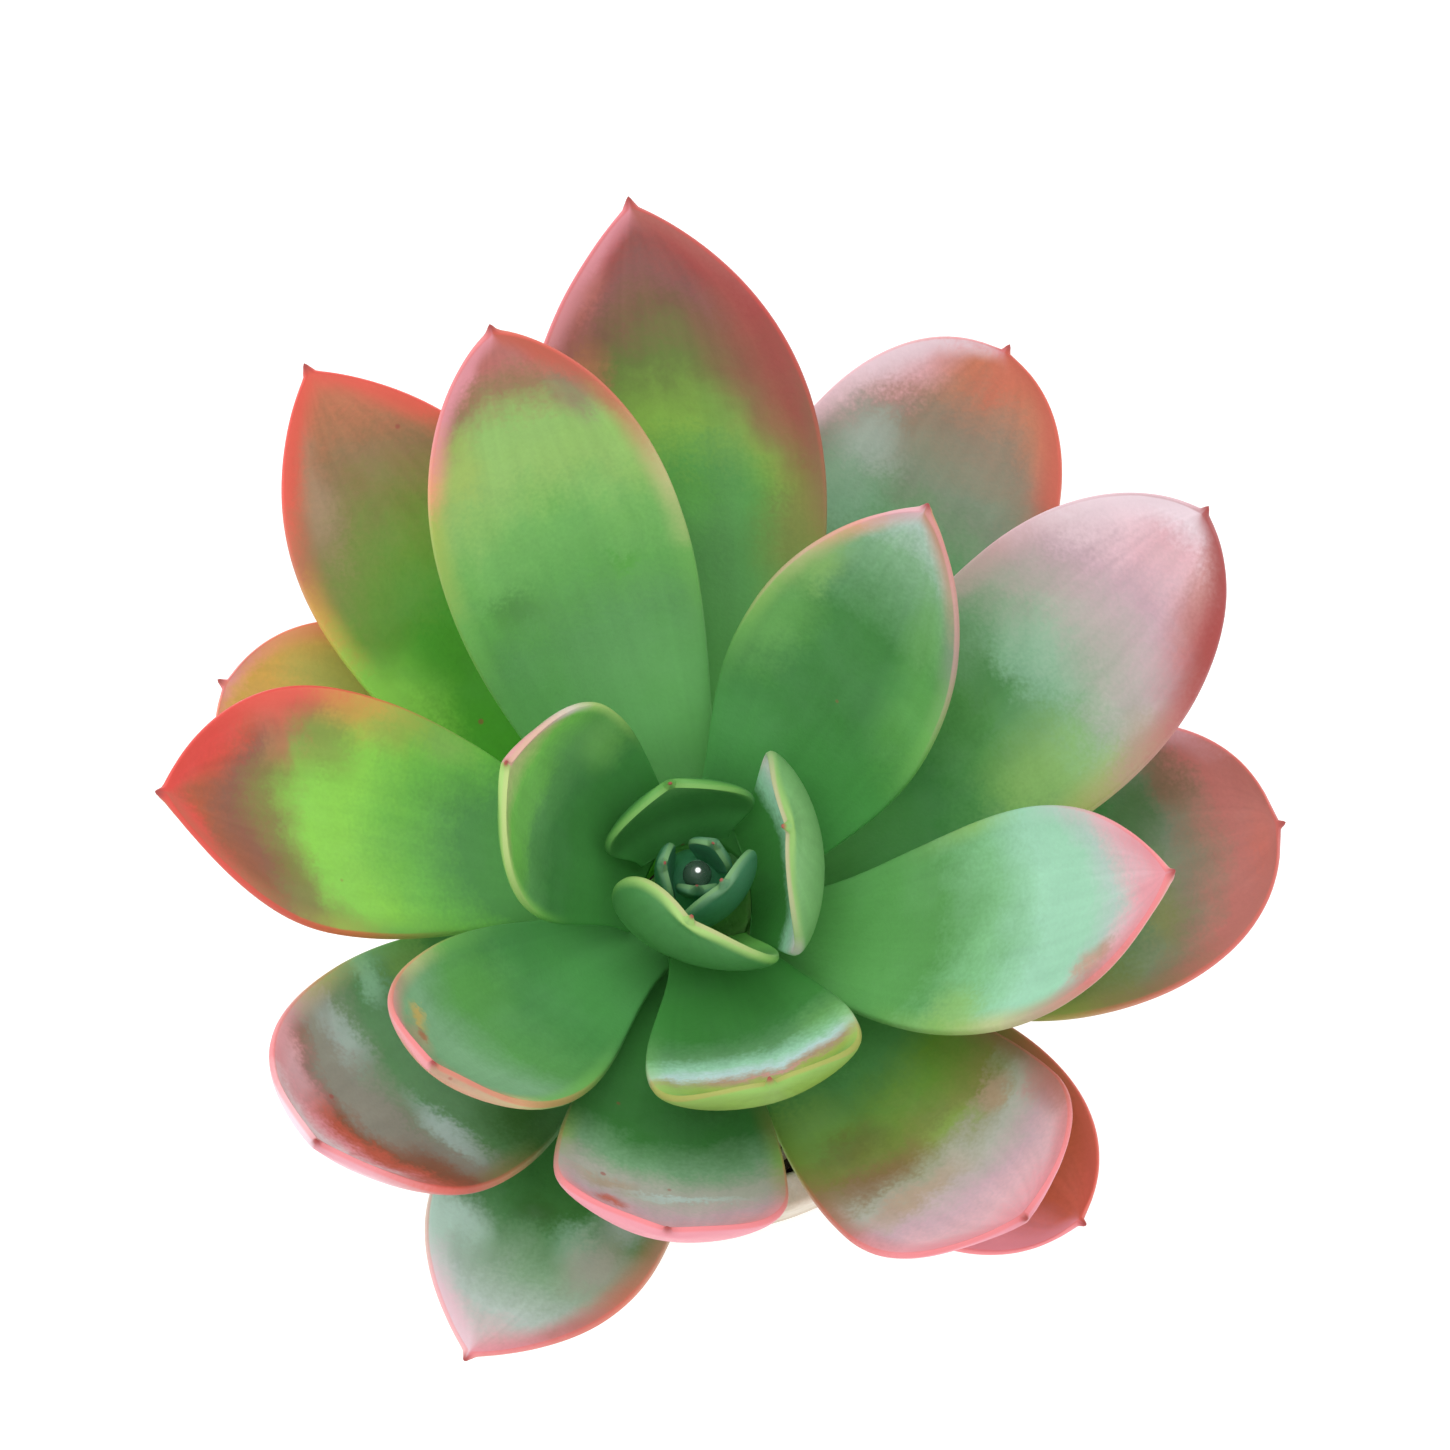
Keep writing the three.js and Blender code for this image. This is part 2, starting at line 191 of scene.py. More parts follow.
# Wherever a leaf takes the dark shade green, it is partly painted shade cast by the leaves over it.
PAINTS = {}
PAINTS["leaf_01"] = dict(
    run=[("moss", 0.55), ("brown", 0.72), ("rust", 0.85), ("terracotta", 1)],
    under="rose",
    rim=[("olive", 0.5), ("terracotta", 0.8)],
    clockwise_rim=[("rose", 0.7)],
    washes=[("rose", 0.86, -1, 0.14, 0.6, 1)],
)
PAINTS["leaf_02"] = dict(
    run=[("yellow_green", 0.6), ("amber", 0.85), ("amber", 0.95), ("apricot", 1)],
    under="apricot",
    rim=[("amber", 0.6), ("apricot", 0.85), ("apricot", 0.95), ("rose", 1)],
    washes=[("yellow_green", 0.78, -0.5, 0.1, 0.3, 0.7)],
)
PAINTS["leaf_03"] = dict(
    run=[("sea_green", 0.55), ("sea_green", 0.64), ("sage", 0.74), ("taupe", 0.84), ("copper", 0.94)],
    tongue=0.08, line_from=0.85,
    rim=[("jade", 0.55), ("blossom", 0.72), ("blossom", 0.95), ("rose", 1)],
    clockwise_rim=[("sage", 0.6), ("brown", 0.7), ("terracotta", 0.82), ("terracotta", 0.95)],
    washes=[
        ("mint", 0.64, 0.55, 0.08, 0.3, 0.5), ("frost", 0.75, 0.55, 0.05, 0.25, 0.6),
        ("terracotta", 0.84, -1, 0.1, 0.22, 0.7), ("pink", 0.9, 0.75, 0.07, 0.3, 0.8),
        ("blossom", 0.88, 1, 0.1, 0.25, 0.9), ("terracotta", 0.95, -0.2, 0.04, 0.4, 0.5),
    ],
)
PAINTS["leaf_04"] = dict(
    run=[("forest", 0.56), ("fern", 0.66), ("jade", 0.75), ("frost", 0.87), ("pink", 0.97)],
    rim_width=1.3, bloom=0.08,
    rim=[("tan", 0.55), ("copper", 0.74), ("dusty_red", 0.84), ("rose", 0.97)],
    clockwise_rim=[("sage", 0.6), ("pale_mint", 0.68), ("pale_mint", 0.76), ("blossom", 0.88)],
    washes=[
        ("mint", 0.65, 0.35, 0.04, 0.2, 0.6), ("frost", 0.57, 0.6, 0.04, 0.2, 0.7),
        ("dark_green_and_painted_shade", 0.63, -0.1, 0.03, 0.15, 0.6), ("pale_mint", 0.73, -0.75, 0.05, 0.3, 0.95),
        ("ash", 0.68, 0.6, 0.06, 0.25, 0.7), ("dusty_red", 0.8, 1, 0.1, 0.2, 0.6),
    ],
)
PAINTS["leaf_05"] = dict(
    run=[
        ("vivid_green", 0.3), ("vivid_green", 0.54), ("meadow", 0.66), ("olive", 0.76), ("umber", 0.84),
        ("copper", 0.93),
    ],
    under="copper", tongue=0.1, rim_strength=0.95, rim_width=1.2, line="red", line_from=0.8,
    rim=[("lime", 0.54), ("amber", 0.64), ("copper", 0.74), ("salmon", 0.84)],
    washes=[
        ("lime", 0.46, 1, 0.08, 0.4, 0.9), ("tan", 0.8, 0.65, 0.08, 0.2, 0.6),
        ("salmon", 0.93, 0.9, 0.07, 0.2, 0.7), ("salmon", 0.92, -1, 0.07, 0.25, 0.6),
    ],
)
PAINTS["leaf_06"] = dict(
    run=[("forest", 0.67), ("sage", 0.77), ("taupe", 0.83), ("dusty_red", 0.91)],
    under="rose", tongue=0.1,
    rim=[("sage", 0.6), ("stone", 0.74), ("pink", 0.82), ("dusty_red", 0.93)],
    clockwise_rim=[("yellow_green", 0.5), ("umber", 0.7), ("dusty_red", 0.85)],
    washes=[
        ("olive", 0.62, -0.9, 0.08, 0.3, 0.7), ("olive", 0.75, -0.4, 0.04, 0.3, 0.7),
        ("dark_green_and_painted_shade", 0.73, 0.4, 0.05, 0.25, 0.6), ("cocoa", 0.8, 0.55, 0.04, 0.2, 0.7),
        ("terracotta", 0.96, -0.3, 0.03, 0.5, 0.4),
    ],
)
# The two pale blue-white patches near the lip are the leaf's pale wax together with a painted reflection of
# the bright surroundings
PAINTS["leaf_07"] = dict(
    run=[
        ("forest", 0.35), ("sea_green", 0.53), ("sea_green", 0.63), ("stone", 0.72), ("stone", 0.77),
        ("brown", 0.82), ("terracotta", 0.86), ("rose", 0.9), ("blossom", 0.95),
    ],
    under="blossom", bloom=0.06,
    rim=[("dark_green_and_painted_shade", 0.5), ("olive", 0.65), ("brown", 0.75), ("terracotta", 0.85), ("rose", 0.95)],
    clockwise_rim=[
        ("light_green", 0.4), ("mint", 0.52), ("straw", 0.64), ("pink", 0.76), ("rose", 0.86),
        ("blossom", 0.95),
    ],
    washes=[
        ("light_green", 0.46, -0.8, 0.04, 0.25, 0.7), ("mint", 0.55, -0.85, 0.03, 0.2, 0.9),
        ("dark_green_and_painted_shade", 0.5, 0.7, 0.07, 0.25, 0.8), ("pale_lip_and_reflection", 0.65, 0.45, 0.03, 0.3, 0.7),
        ("pale_lip_and_reflection", 0.68, -0.6, 0.03, 0.25, 0.5), ("brown", 0.77, 0.7, 0.04, 0.3, 0.8),
        ("pink", 0.84, -0.75, 0.05, 0.4, 1), ("terracotta", 0.85, 0.5, 0.03, 0.4, 0.7),
    ],
)
PAINTS["leaf_08"] = dict(
    run=[
        ("mid_green", 0.2), ("mid_green", 0.45), ("fresh_green", 0.58), ("grass", 0.66), ("moss", 0.76),
        ("cocoa", 0.84), ("mauve", 0.9), ("wine", 1),
    ],
    under="rose", tongue=0.2, rim_strength=0.9, rim_width=0.9, line="red", bloom=0,
    rim=[("olive", 0.5), ("salmon", 0.72), ("rose", 0.82), ("rose", 0.97)],
    clockwise_rim=[("olive", 0.42), ("umber", 0.52), ("brown", 0.65), ("wine", 0.8), ("dusty_red", 0.97)],
    washes=[
        ("sea_green", 0.55, -0.35, 0.1, 0.15, 0.3), ("olive", 0.48, -0.85, 0.08, 0.25, 0.8),
        ("umber", 0.66, -0.75, 0.07, 0.25, 0.7), ("brown", 0.76, -0.7, 0.08, 0.3, 0.8),
        ("wine", 0.78, -1, 0.2, 0.3, 0.9), ("copper", 0.75, 0.65, 0.05, 0.2, 0.7),
        ("dusty_red", 0.87, 0.75, 0.05, 0.2, 0.8), ("rose", 0.95, 0.95, 0.05, 0.2, 0.7),
    ],
)
PAINTS["leaf_09"] = dict(
    run=[
        ("forest", 0.25), ("mid_green", 0.4), ("meadow", 0.52), ("olive", 0.65), ("ash", 0.75),
        ("lilac", 0.84), ("pink", 0.91), ("rose", 0.98),
    ],
    under="rose",
    rim=[("umber", 0.5), ("brown", 0.65), ("dusty_red", 0.75), ("dusty_red", 0.85), ("rose", 0.95)],
    clockwise_rim=[("grass", 0.45), ("umber", 0.62), ("dusty_red", 0.75), ("rose", 0.85)],
    washes=[
        ("light_green", 0.44, -0.75, 0.07, 0.35, 0.6), ("cocoa", 0.54, -0.5, 0.04, 0.25, 0.4),
        ("brown", 0.65, -0.6, 0.04, 0.4, 0.6), ("grass", 0.65, 0.2, 0.03, 0.2, 0.5),
        ("tan", 0.67, 0.6, 0.03, 0.15, 0.8), ("tan", 0.75, -0.4, 0.03, 0.4, 0.7),
        ("dusty_red", 0.78, 0.9, 0.06, 0.15, 0.6),
    ],
)
PAINTS["leaf_10"] = dict(
    run=[
        ("mid_green", 0.15), ("mid_green", 0.38), ("bright_green", 0.5), ("lime", 0.62), ("lime", 0.69),
        ("olive", 0.78), ("brown", 0.85), ("rust", 0.92), ("red", 0.98),
    ],
    under="yellow_green", tongue=0.15, rim_strength=0.9, line="red", line_strength=0.7, line_from=0.5,
    rim=[("leaf_green", 0.5), ("yellow_green", 0.64), ("umber", 0.76), ("terracotta", 0.9)],
    clockwise_rim=[
        ("bright_green", 0.4), ("yellow_green", 0.5), ("amber", 0.58), ("salmon", 0.72), ("red", 0.9),
    ],
    washes=[
        ("light_green", 0.44, -0.9, 0.05, 0.2, 0.7), ("yellow_green", 0.54, -0.85, 0.05, 0.2, 0.8),
        ("amber", 0.62, -0.9, 0.05, 0.2, 0.8), ("olive", 0.66, -0.55, 0.04, 0.2, 0.6),
        ("copper", 0.75, -0.6, 0.04, 0.2, 0.7), ("salmon", 0.76, -1, 0.1, 0.25, 0.9),
        ("red", 0.9, -0.7, 0.06, 0.35, 0.9), ("olive", 0.73, 0.75, 0.05, 0.3, 0.7),
        ("brown", 0.84, 0.6, 0.06, 0.4, 0.6),
    ],
)
PAINTS["leaf_11"] = dict(
    run=[
        ("mid_green", 0.15), ("forest", 0.34), ("mid_green", 0.48), ("jade", 0.6), ("ash", 0.7),
        ("lilac", 0.82), ("pink", 0.92), ("blossom", 0.98),
    ],
    under="blossom", rim_width=1.2, line="wine", line_from=0.85, bloom=0.06,
    rim=[("straw", 0.4), ("ash", 0.5), ("pink", 0.7), ("blossom", 0.85)],
    clockwise_rim=[("yellow_green", 0.5), ("tan", 0.65), ("dusty_red", 0.74), ("wine", 0.82)],
    washes=[
        ("light_green", 0.52, -0.6, 0.08, 0.35, 0.7), ("yellow_green", 0.58, -0.95, 0.07, 0.2, 0.6),
        ("fern", 0.54, 0.2, 0.03, 0.2, 0.6), ("mint", 0.63, 0.2, 0.05, 0.35, 0.45),
        ("tan", 0.68, -0.9, 0.05, 0.2, 0.6), ("blossom", 0.88, 0.85, 0.08, 0.4, 0.7),
        ("dusty_red", 0.88, -0.7, 0.09, 0.25, 0.8), ("wine", 0.87, -1, 0.12, 0.25, 1),
    ],
)
# The thin pale blue-white band at the lip is a painted highlight over the lip's own pale wax
PAINTS["leaf_12"] = dict(
    run=[
        ("forest", 0.2), ("forest", 0.36), ("forest", 0.54), ("jade", 0.65), ("ash", 0.72), ("ash", 0.76),
        ("lilac", 0.84), ("rose", 0.95),
    ],
    under="rose",
    rim=[("olive", 0.5), ("grass", 0.62), ("tan", 0.72), ("rose", 0.84)],
    clockwise_rim=[("forest", 0.5), ("light_green", 0.62), ("ash", 0.72), ("rose", 0.84)],
    washes=[
        ("fern", 0.42, -0.7, 0.08, 0.3, 0.6), ("dark_green_and_painted_shade", 0.4, 0.4, 0.05, 0.35, 0.5),
        ("tan", 0.74, -0.55, 0.02, 0.25, 0.6), ("terracotta", 0.83, -0.55, 0.025, 0.15, 0.9),
        ("pale_lip_and_reflection", 0.75, 0.15, 0.012, 0.4, 0.5),
    ],
)
PAINTS["leaf_13"] = dict(
    run=[
        ("mid_green", 0.2), ("mid_green", 0.44), ("fresh_green", 0.54), ("leaf_green", 0.64),
        ("light_green", 0.74), ("light_green", 0.82), ("umber", 0.89), ("dusty_red", 0.95),
    ],
    tongue=0.05, rim_strength=0.9, line_from=0.85,
    rim=[("leaf_green", 0.5), ("yellow_green", 0.7), ("apricot", 0.78), ("rose", 0.87)],
    clockwise_rim=[("leaf_green", 0.5), ("straw", 0.66), ("copper", 0.8), ("terracotta", 0.88)],
    washes=[
        ("dark_green_and_painted_shade", 0.52, 0.5, 0.03, 0.2, 0.4), ("vivid_green", 0.53, -0.45, 0.015, 0.1, 0.5),
        ("fresh_green", 0.62, -0.15, 0.06, 0.2, 0.4), ("taupe", 0.85, -0.7, 0.05, 0.2, 0.6),
        ("terracotta", 0.94, -0.8, 0.05, 0.3, 0.9), ("yellow_green", 0.78, 0.7, 0.05, 0.2, 0.6),
        ("rose", 0.94, 0.8, 0.04, 0.25, 0.8),
    ],
)
PAINTS["leaf_14"] = dict(
    run=[
        ("mid_green", 0.2), ("mid_green", 0.44), ("soft_green", 0.57), ("mint", 0.7), ("mint", 0.78),
        ("frost", 0.85), ("pink", 0.92), ("rose", 0.98),
    ],
    line_from=0.8, bloom=0.04,
    rim=[("light_green", 0.5), ("mint", 0.65), ("frost", 0.75), ("pink", 0.85), ("rose", 0.95)],
    clockwise_rim=[("grass", 0.5), ("straw", 0.63), ("tan", 0.72), ("dusty_red", 0.83), ("rose", 0.93)],
    washes=[
        ("light_green", 0.52, -0.8, 0.05, 0.2, 0.6), ("copper", 0.83, -0.7, 0.04, 0.15, 0.6),
        ("rose", 0.94, -0.2, 0.04, 0.25, 0.6),
    ],
)
PAINTS["leaf_15"] = dict(
    run=[("fern", 0.3), ("fern", 0.45), ("mid_green", 0.62), ("jade", 0.76), ("jade", 0.85), ("tan", 1)],
    under="peach",
    rim=[("leaf_green", 0.5), ("leaf_green", 0.75), ("straw", 0.85), ("tan", 0.95)],
    clockwise_rim=[("leaf_green", 0.55), ("straw", 0.68), ("tan", 0.76), ("rose", 0.9)],
    washes=[
        ("fresh_green", 0.55, -0.5, 0.1, 0.35, 0.5), ("tan", 0.86, -0.5, 0.04, 0.2, 0.6),
        ("amber", 0.79, -0.6, 0.02, 0.12, 0.7), ("rust", 0.83, -0.45, 0.02, 0.07, 0.7),
    ],
)
PAINTS["leaf_16"] = dict(
    run=[
        ("fern", 0.2), ("forest", 0.42), ("forest", 0.66), ("sea_green", 0.77), ("jade", 0.86),
        ("frost", 0.95),
    ],
    line="rose",
    rim=[("leaf_green", 0.5), ("light_green", 0.64), ("straw", 0.76), ("apricot", 0.87), ("pink", 0.96)],
    clockwise_rim=[("leaf_green", 0.55), ("sage", 0.74), ("tan", 0.84), ("copper", 0.95)],
    washes=[
        ("leaf_green", 0.58, 0.8, 0.12, 0.3, 0.6), ("light_green", 0.74, 0.75, 0.06, 0.2, 0.6),
        ("fresh_green", 0.55, -0.8, 0.12, 0.3, 0.7), ("leaf_green", 0.74, -0.6, 0.08, 0.2, 0.4),
    ],
)
# The pale mint band just inside the lip is the lip's pale wax together with a painted reflection of the
# bright surroundings
PAINTS["leaf_17"] = dict(
    run=[
        ("forest", 0.25), ("forest", 0.43), ("sea_green", 0.53), ("mint", 0.61), ("pale_lip_and_reflection", 0.66),
        ("tan", 0.705), ("yellow_green", 0.75), ("grass", 0.84),
    ],
    under="grass", rim_strength=0.5, line_strength=0.2,
    rim=[("leaf_green", 0.5), ("spring_green", 0.65), ("light_green", 0.9)],
    washes=[
        ("leaf_green", 0.53, 0.8, 0.07, 0.3, 0.5), ("light_green", 0.7, -0.8, 0.05, 0.25, 0.6),
        ("rose", 0.71, 0.15, 0.01, 0.35, 0.5),
    ],
)
PAINTS["leaf_18"] = dict(
    run=[("forest", 0.3), ("forest", 0.52), ("mid_green", 0.66), ("bright_green", 0.84), ("straw", 0.97)],
    under="fresh_green", rim_width=0.5, line="straw", line_strength=0.3,
    rim=[("bright_green", 0.5), ("spring_green", 0.85)],
    clockwise_rim=[("light_green", 0.45), ("spring_green", 0.7), ("blossom", 0.84), ("rose", 0.97)],
    washes=[("leaf_green", 0.54, -0.75, 0.1, 0.25, 0.7), ("bright_green", 0.74, 0.3, 0.06, 0.5, 0.6)],
)
# The pale run from mint to white on the inner face is painted light: a reflection of the bright surroundings,
# made brighter against the shade on that face
PAINTS["leaf_19"] = dict(
    run=[("forest", 0.3), ("mint", 0.38), ("pale_mint", 0.45), ("white", 0.55)],
    under="fresh_green", under_from=-0.2, rim_width=0.4, line="rose", line_strength=0.3, line_from=0.8,
    rim=[("straw", 0.4), ("blossom", 0.5), ("light_green", 0.7)],
)
PAINTS["leaf_20"] = dict(
    run=[("leaf_green", 0.3), ("fern", 0.8)],
    under="fern", under_from=-0.2, rim_width=0.5, line="rose", line_strength=0.3, line_from=0.85,
    rim=[("leaf_green", 0.5), ("spring_green", 0.8)],
)
PAINTS["leaf_21"] = dict(
    run=[("fern", 0.3), ("forest", 0.5), ("forest", 0.7), ("mid_green", 0.88)],
    under="fern", under_from=-0.2, rim_width=0.5, line="light_green", line_strength=0.3, line_from=0.7,
    rim=[("mid_green", 0.5), ("leaf_green", 0.8)],
)
PAINTS["heart"] = dict(
    run=[("deep_teal", 0.4), ("teal", 0.9)],
    under="deep_teal", under_from=-0.2, rim_width=0.6, line="light_green", line_strength=0.3, line_from=0.4,
    rim=[("teal", 0.5), ("jade", 0.9)],
)

# Looks: roughness, what a texture adds to it, the texture's size and the relief's depth, both in millimetres
SKIN_LOOK = dict(roughness=0.4, uneven=0.2, size=0.5, depth=0.03)
CLAY_LOOK = dict(roughness=0.75, uneven=0.2, size=0.8, depth=0.12)
LOAM_LOOK = dict(roughness=0.85, uneven=0.1, size=1.2, depth=0.8)
GRIT_LOOK = dict(roughness=0.8, uneven=0.15, size=0.5, depth=0.3)
HUSK_LOOK = dict(roughness=0.6, uneven=0.3, size=1.5, depth=0.3)
WATER_LOOK = dict(roughness=0, uneven=0.04, size=2)
FLOOR_LOOK = dict(roughness=0.7, uneven=0.2, size=40)
SOFT_EDGE = (0.35, 0.65)

# Skin, with sizes in millimetres. Along runs from 0 at the stem to 1 at the tip, across from -1 to 1, and
# lift from -1 underneath to 1 on top. A pair is where something starts to change and where it has changed.
WASH_INPUTS = ("Place along", "Place across", "Reach along", "Reach across", "Strength")
WASH_SOFTNESS = 0.8
BLOTCH_SIZE = 7
BLOTCH_DETAIL = 6.0
BLOTCH_ROUGHNESS = 0.6
BLOTCH_TWIST = 0.6
BLOTCH_TONE = 0.3
BLOTCH_ALONG = 0.12
BLOTCH_ACROSS = 0.25
GRAIN_TONE = 0.12
GRAIN_ALONG = 0.04
GRAIN_ACROSS = 0.1
UNDERSIDE = (0.1, -0.4)
UNDER_SHARE = 0.9
UNDER_REACH = 0.4
# Painted light: the skin is made lighter towards the stem, against the shade deep in the rosette
HEEL = (0.5, 0.2)
HEEL_PAINTED_LIGHT = 0.55
STREAKS_ACROSS = 9
STREAKS_ALONG = 1.6
STREAK_TONE = 0.22
BLOOM_SIZE = 21
BLOOM_EDGE = (0.42, 0.62)
BLOOM_DULLNESS = 2.5
MARGIN_SIDES = (-0.3, 0.3)
MARGIN_ALONG = (0.3, 0.6)
RIM_BAND = 3
BAND_LEAST = 0.6
BAND_UNEVEN = 0.8
BAND_FADE = (1.2, 0.0)
RIM_LINE = 0.3
LINE_LEAST = 0.5
LINE_FADE = (1.3, 0.4)
LINE_LIFT = (-0.45, -0.15)
LINE_REACH = 0.15
RIM_WIDTH_OF = 36
RIM_LEAST = 0.3
POINT_START = 0.975
SPOT_SPACING = 8
SPOT_RADIUS = 0.45
SPOT_RARITY = 0.5
SPOT_SHARE = 0.6
SKIN_SPECULAR = 0.35

# Soil, grit and the drop of water, in millimetres
SOIL_ROWS = 36
LUMP_HEIGHT = 1.4
LUMP_SIZE = 5
GRAINS_PER_CM2 = 34
CM2_PER_M2 = 1e4
GRIT_SEED = 4
GRAIN_RADIUS = 1.15
GRAIN_MARGIN = 1.5
GRAIN_LEAST = (0.45, 0.45, 0.35)
GRAIN_MOST = (1.3, 1.1, 0.8)
FULL_TURN = (6.28, 6.28, 6.28)
CRUMB_TONE = 0.9
PIT_EDGE = (0.5, 0.3)
PIT_SHARE = 0.4
DROP_RADIUS = 1.7
DROP_SQUASH = 0.8
DROP_HEIGHT = 89
DROP_ROWS = 24
DROP_CLEARNESS = 0.8
WATER_INDEX = 1.333
# The glint is a painted highlight: a white spot on the drop that glows
PAINTED_GLINT_PLACE = (0.1, 0.2, 90.4)
PAINTED_GLINT_RADIUS = 0.45
PAINTED_GLINT_GLOW = 0.7

# Pot finish, in millimetres
CLAY_PATCH = 14
CLAY_TONE = 0.94
LIME_PATCH = 22
LIME_EDGE = (0.5, 0.62)
LIME_SHARE = 0.7
TURNING_MARK = 0.9
MARK_WOBBLE = 3
MARK_TONE = 0.05
SPECKLE_EDGE = (0.3, 0.5)
SPECKLE_TONE = 0.06

# Stem detail, in millimetres
STEM_ROWS = 16
SCAR_DEPTH = 0.5
SCAR_SIZE = 4
SCAR_EDGE = (0.2, 0.7)
SHARP_EDGE = 0.6
GREEN_FROM = 3
GREEN_TO = 8

# Studio: the floor's half width in metres and its drop below the pot in millimetres, and the light
FLOOR_REACH = 3
FLOOR_DROP = 0.05
FLOOR_GLOW = 0.2
DAYLIGHT = 1.0
LAMP_TURN = (-30, -20, 0)
LAMP_SPREAD = 60
LAMP_STRENGTH = 0.6

# Socket types of the node groups
GEOMETRY = "NodeSocketGeometry"
MATERIAL = "NodeSocketMaterial"
COLOUR = "NodeSocketColor"
NUMBERS = {float: "NodeSocketFloat", int: "NodeSocketInt"}


def colour(shade):
    """A named screen colour as the linear RGBA that sockets take."""
    text = SHADES[shade]
    shares = [int(text[i : i + 2], 16) / 255 for i in (0, 2, 4)]
    return [s / 12.92 if s <= 0.04045 else ((s + 0.055) / 1.055) ** 2.4 for s in shares] + [1.0]


def arithmetic(operation):
    """The methods of Value for one operation, with the other number on its right or on its left."""

    def forward(self, other):
        return self.nodes.math(operation, self, other)

    def backward(self, other):
        return self.nodes.math(operation, other, self)

    return forward, backward


class Value:
    """A node's output. A formula written with values adds the nodes that work it out."""

    __add__, __radd__ = arithmetic("ADD")
    __sub__, __rsub__ = arithmetic("SUBTRACT")
    __mul__, __rmul__ = arithmetic("MULTIPLY")
    __truediv__, __rtruediv__ = arithmetic("DIVIDE")
    __pow__, __rpow__ = arithmetic("POWER")

    def __init__(self, nodes, socket):
        self.nodes = nodes
        self.socket = socket


def find_socket(sockets, key):
    """The socket at a place in the list, or the one of that name that the node's settings leave in use."""
    if isinstance(key, int):
        return sockets[key]
    return next(socket for socket in sockets if socket.name == key and socket.enabled)


class Nodes:
    """Adds nodes to one tree, and links or sets their inputs."""

    def __init__(self, tree):
        self.tree = tree

    def feed(self, socket, value):
        if isinstance(value, Value):
            self.tree.links.new(value.socket, socket)
        else:
            socket.default_value = value

    def add(self, kind, inputs, **settings):
        """A node of that kind, with its settings, and its inputs by name or place."""
        node = self.tree.nodes.new(kind)
        for name, value in settings.items():
            setattr(node, name, value)
        for key, value in inputs.items():
            self.feed(find_socket(node.inputs, key), value)
        return node

    def get(self, kind, inputs, output=0, **settings):
        """One output of a new node."""
        return Value(self, find_socket(self.add(kind, inputs, **settings).outputs, output))

    def position(self):
        return self.get("GeometryNodeInputPosition", {})

    def math(self, operation, *values):
        return self.get("ShaderNodeMath", dict(enumerate(values)), operation=operation)

    def vector(self, operation, inputs, output=0):
        return self.get("ShaderNodeVectorMath", inputs, output, operation=operation)

    def parts(self, source, kind="ShaderNodeSeparateXYZ"):
        """The three numbers of a place or a colour."""
        return [Value(self, socket) for socket in self.add(kind, {0: source}).outputs]

    def combine(self, x=0.0, y=0.0, z=0.0):
        return self.get("ShaderNodeCombineXYZ", {"X": x, "Y": y, "Z": z})

    def ease(self, value, start, end):
        """Goes smoothly from 0 at start to 1 at end, and stays there."""
        inputs = {"Value": value, "From Min": start, "From Max": end}
        return self.get("ShaderNodeMapRange", inputs, interpolation_type="SMOOTHSTEP")

    def noise(self, place, size, detail=2.0, roughness=0.5, twist=0.0, output=0):
        """Noise from 0 to 1 with lumps about size metres across."""
        inputs = {"Vector": place, "Scale": 1 / size, "Detail": detail, "Roughness": roughness}
        return self.get("ShaderNodeTexNoise", {**inputs, "Distortion": twist}, output)

    def ramp(self, value, stops):
        """A run of named shades, each at its own value."""
        node = self.add("ShaderNodeValToRGB", {0: value})
        elements = node.color_ramp.elements
        elements.remove(elements[1])
        while len(elements) < len(stops):
            elements.new(1.0)
        for element, (shade, place) in zip(elements, stops):
            element.position = place
            element.color = colour(shade)
        return Value(self, node.outputs["Color"])

    def blend(self, share, below, above):
        """One colour over another by a share."""
        inputs = {"Factor": share, "A": below, "B": above}
        return self.get("ShaderNodeMix", inputs, "Result", data_type="RGBA")

    def tint(self, shade, tone):
        """A colour made lighter or darker."""
        return self.get("ShaderNodeHueSaturation", {"Color": shade, "Value": tone})


def new_tree(name, inputs, outputs, kind="GeometryNodeTree"):
    """The nodes of a new group, and its inputs by name. Each is given as a type or as a default number."""
    tree = bpy.data.node_groups.new(name, kind)
    for label, given in inputs.items():
        socket_type = NUMBERS.get(type(given), given)
        socket = tree.interface.new_socket(label, in_out="INPUT", socket_type=socket_type)
        if type(given) in NUMBERS:
            socket.default_value = given
    for label, socket_type in outputs.items():
        tree.interface.new_socket(label, in_out="OUTPUT", socket_type=socket_type)
    nodes = Nodes(tree)
    start = nodes.add("NodeGroupInput", {})
    return nodes, {label: Value(nodes, start.outputs[label]) for label in inputs}


def finish_tree(nodes, geometry, material):
    """The last nodes of every tree: instances made real, the material set, the output."""
    geometry = nodes.get("GeometryNodeRealizeInstances", {"Geometry": geometry})
    geometry = nodes.get("GeometryNodeSetMaterial", {"Geometry": geometry, "Material": material})
    nodes.add("NodeGroupOutput", {0: geometry})
    return nodes.tree


def add_object(name, data):
    """A new object in the scene."""
    added = bpy.data.objects.new(name, data)
    bpy.context.scene.collection.objects.link(added)
    return added


def grow(name, tree, start_mesh, values):
    """The mesh that a Geometry Nodes tree makes from start_mesh, as an object with no modifier."""
    seed = add_object(name + "_start", start_mesh)
    modifier = seed.modifiers.new(name, "NODES")
    modifier.node_group = tree
    for item in tree.interface.items_tree:
        if item.in_out == "INPUT" and item.name in values:
            modifier[item.identifier] = values[item.name]
    graph = bpy.context.evaluated_depsgraph_get()
    mesh = bpy.data.meshes.new_from_object(seed.evaluated_get(graph), depsgraph=graph)
    mesh.name = name
    seed.modifiers.remove(modifier)
    bpy.data.objects.remove(seed)
    return add_object(name, mesh)


# Steps that several trees share


